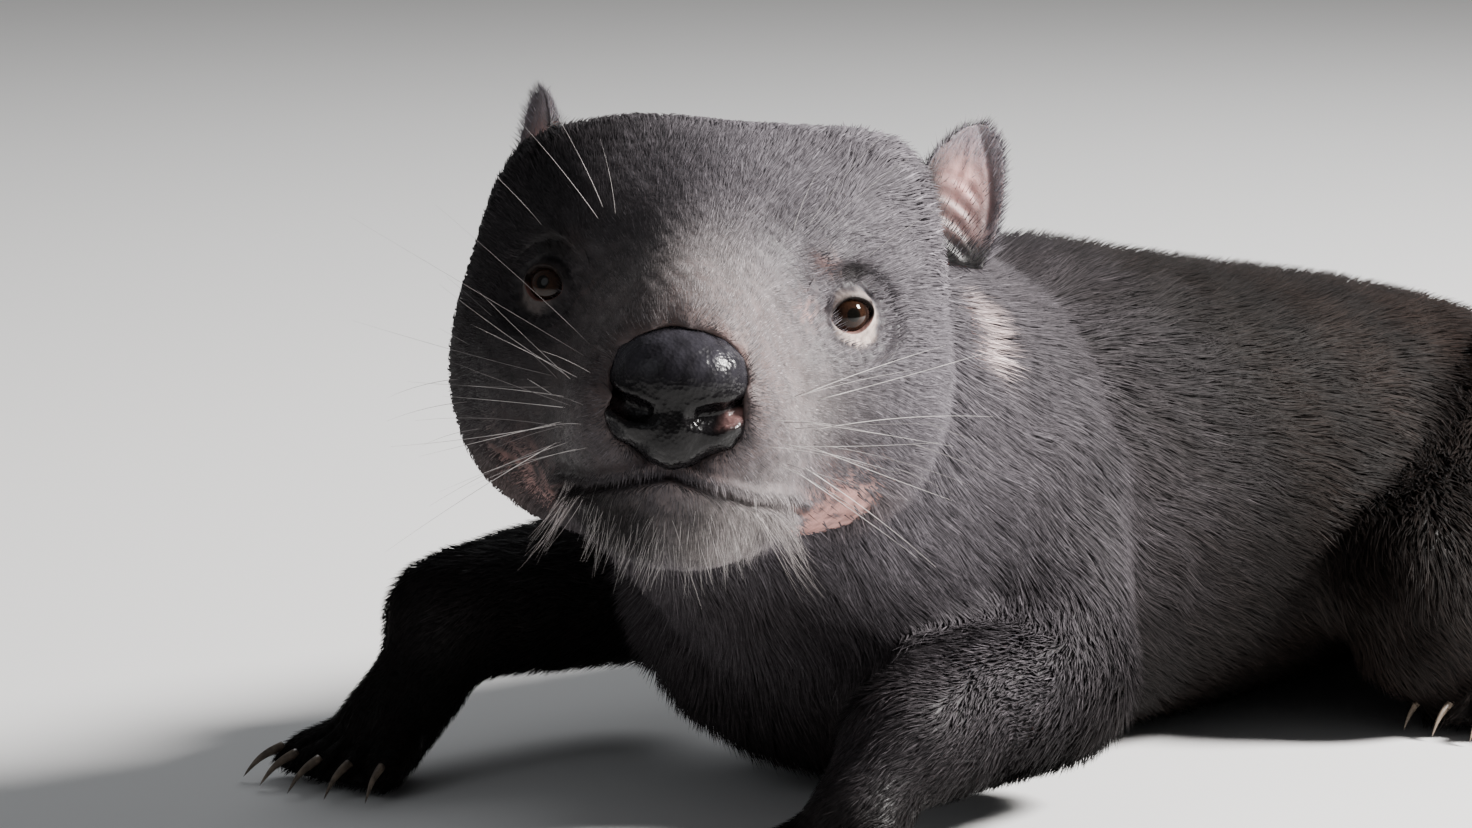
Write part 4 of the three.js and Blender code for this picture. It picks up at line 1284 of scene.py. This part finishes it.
eye_material, tree, shader = material("eye")
chart = tree.nodes.new("ShaderNodeUVMap")
middle = node(tree, "ShaderNodeVectorMath", operation="SUBTRACT")
middle.inputs[1].default_value = (0.5, 0.5, 0)
tree.links.new(chart.outputs["UV"], middle.inputs[0])
size = node(tree, "ShaderNodeVectorMath", operation="LENGTH")
tree.links.new(middle.outputs[0], size.inputs[0])
rings = tree.nodes.new("ShaderNodeValToRGB")
stops = (
    (0.0, (0.003, 0.0025, 0.002)),
    (0.036, (0.003, 0.0025, 0.002)),
    (0.044, (0.022, 0.010, 0.006)),
    (0.075, (0.020, 0.009, 0.005)),
    (0.098, (0.014, 0.007, 0.005)),
    (0.106, (0.008, 0.005, 0.004)),
    (0.135, (0.05, 0.03, 0.025)),
    (0.2, (0.30, 0.20, 0.17)),
)
ramp = rings.color_ramp
while len(ramp.elements) < len(stops):
    ramp.elements.new(0.5)
for element, (at, value) in zip(ramp.elements, stops):
    element.position = at
    element.color = (*value, 1)
tree.links.new(size.outputs["Value"], rings.inputs["Fac"])
rays = remap(tree, noise(tree, 1500, 4), 0.3, 0.7, 0.65, 1.4)
tree.links.new(scaled(tree, rings.outputs["Color"], rays), shader.inputs["Base Color"])
set_inputs(shader, ("Roughness", 0.08), ("IOR", 1.3), ("Coat Weight", 0.12), ("Coat Roughness", 0.02))
bump(tree, shader, (noise(tree, 900, 2), 0.05, 0.0001))

claw_material, tree, shader = material("claw horn")
tone = remap(tree, noise(tree, 300, 4), 0.3, 0.7, 0.0, 1.0)
mix = tree.nodes.new("ShaderNodeMix")
mix.data_type = "RGBA"
mix.inputs["A"].default_value = (0.085, 0.066, 0.052, 1)
mix.inputs["B"].default_value = (0.25, 0.20, 0.155, 1)
tree.links.new(tone, mix.inputs["Factor"])
tree.links.new(mix.outputs["Result"], shader.inputs["Base Color"])
set_inputs(shader, ("Roughness", 0.35))
bump(tree, shader, (noise(tree, 700, 3), 0.3, 0.0003))

whisker_material, tree, shader = material("whisker")
tone = remap(tree, noise(tree, 60, 2), 0.4, 0.6, 0.7, 1.15)
tree.links.new(scaled(tree, attribute(tree, "tint").outputs["Color"], tone), shader.inputs["Base Color"])
set_inputs(shader, ("Roughness", 0.35), ("Specular IOR Level", 0.3))

dress(skin, skin_material)
for side, _ in SIDES:
    dress(lids[side][0], skin_material)
    dress(ears[side][0], ear_material)
    dress(bpy.data.objects[f"eyeball_{side}"], eye_material)
for obj in coat:
    dress(obj, fur_material)
dress(nose, nose_material)
for obj in strand_pieces:
    dress(obj, whisker_material)
for obj in claws:
    dress(obj, claw_material)

# Camera, lights and floor
F_PIXELS, FRAME_WIDTH, FRAME_HEIGHT = 6080, 1472, 828
CAMERA_AZIMUTH, CAMERA_ELEVATION = math.radians(42), math.radians(9)
CAMERA_DISTANCE = 1.6
EYES_AT = (700, 297)
forward = Vector(
    (
        -math.sin(CAMERA_AZIMUTH) * math.cos(CAMERA_ELEVATION),
        math.cos(CAMERA_AZIMUTH) * math.cos(CAMERA_ELEVATION),
        -math.sin(CAMERA_ELEVATION),
    )
)
right = Vector((math.cos(CAMERA_AZIMUTH), math.sin(CAMERA_AZIMUTH), 0))
up = right.cross(forward)
camera_data = bpy.data.cameras.new("camera")
camera_data.sensor_width = 36
camera_data.lens = F_PIXELS / FRAME_WIDTH * camera_data.sensor_width
camera_data.clip_start, camera_data.clip_end = 0.1, 50
camera = bpy.data.objects.new("camera", camera_data)
bpy.context.collection.objects.link(camera)
offset = right * (EYES_AT[0] - FRAME_WIDTH / 2) + up * (FRAME_HEIGHT / 2 - EYES_AT[1])
camera.location = HEAD_PLACE - forward * CAMERA_DISTANCE - offset * CAMERA_DISTANCE / F_PIXELS
camera.rotation_mode = "QUATERNION"
camera.rotation_quaternion = forward.to_track_quat("-Z", "Y")
bpy.context.scene.camera = camera


def area_light(name, toward, distance, size, power, color, aim):
    data = bpy.data.lights.new(name, "AREA")
    data.shape, data.size, data.energy, data.color = "DISK", size, power, color
    obj = bpy.data.objects.new(name, data)
    obj.location = aim + toward.normalized() * distance
    obj.rotation_mode = "QUATERNION"
    obj.rotation_quaternion = (-toward).to_track_quat("-Z", "Y")
    bpy.context.collection.objects.link(obj)


AIM = Vector((0.0, -0.15, 0.1))
area_light("key", right * 1.0 + up * 0.70 - forward * 0.22, 1.8, 0.5, 136, (1.0, 0.97, 0.94), AIM)
area_light("fill", -right * 0.9 + up * 0.5 - forward * 0.9, 2.2, 1.2, 2.5, (0.93, 0.96, 1.0), AIM)
area_light("rim", right * 0.3 + up * 1.0 + forward * 0.9, 2.0, 1.0, 10, (0.96, 0.98, 1.0), AIM)

world = bpy.data.worlds.new("studio")
world.use_nodes = True
world.node_tree.nodes["Background"].inputs["Color"].default_value = (0.80, 0.82, 0.84, 1)
world.node_tree.nodes["Background"].inputs["Strength"].default_value = 0.15
bpy.context.scene.world = world

floor_mesh = bpy.data.meshes.new("floor")
floor_mesh.from_pydata([(-6, -6, 0), (6, -6, 0), (6, 6, 0), (-6, 6, 0)], [], [(0, 1, 2, 3)])
floor = bpy.data.objects.new("floor", floor_mesh)
bpy.context.collection.objects.link(floor)
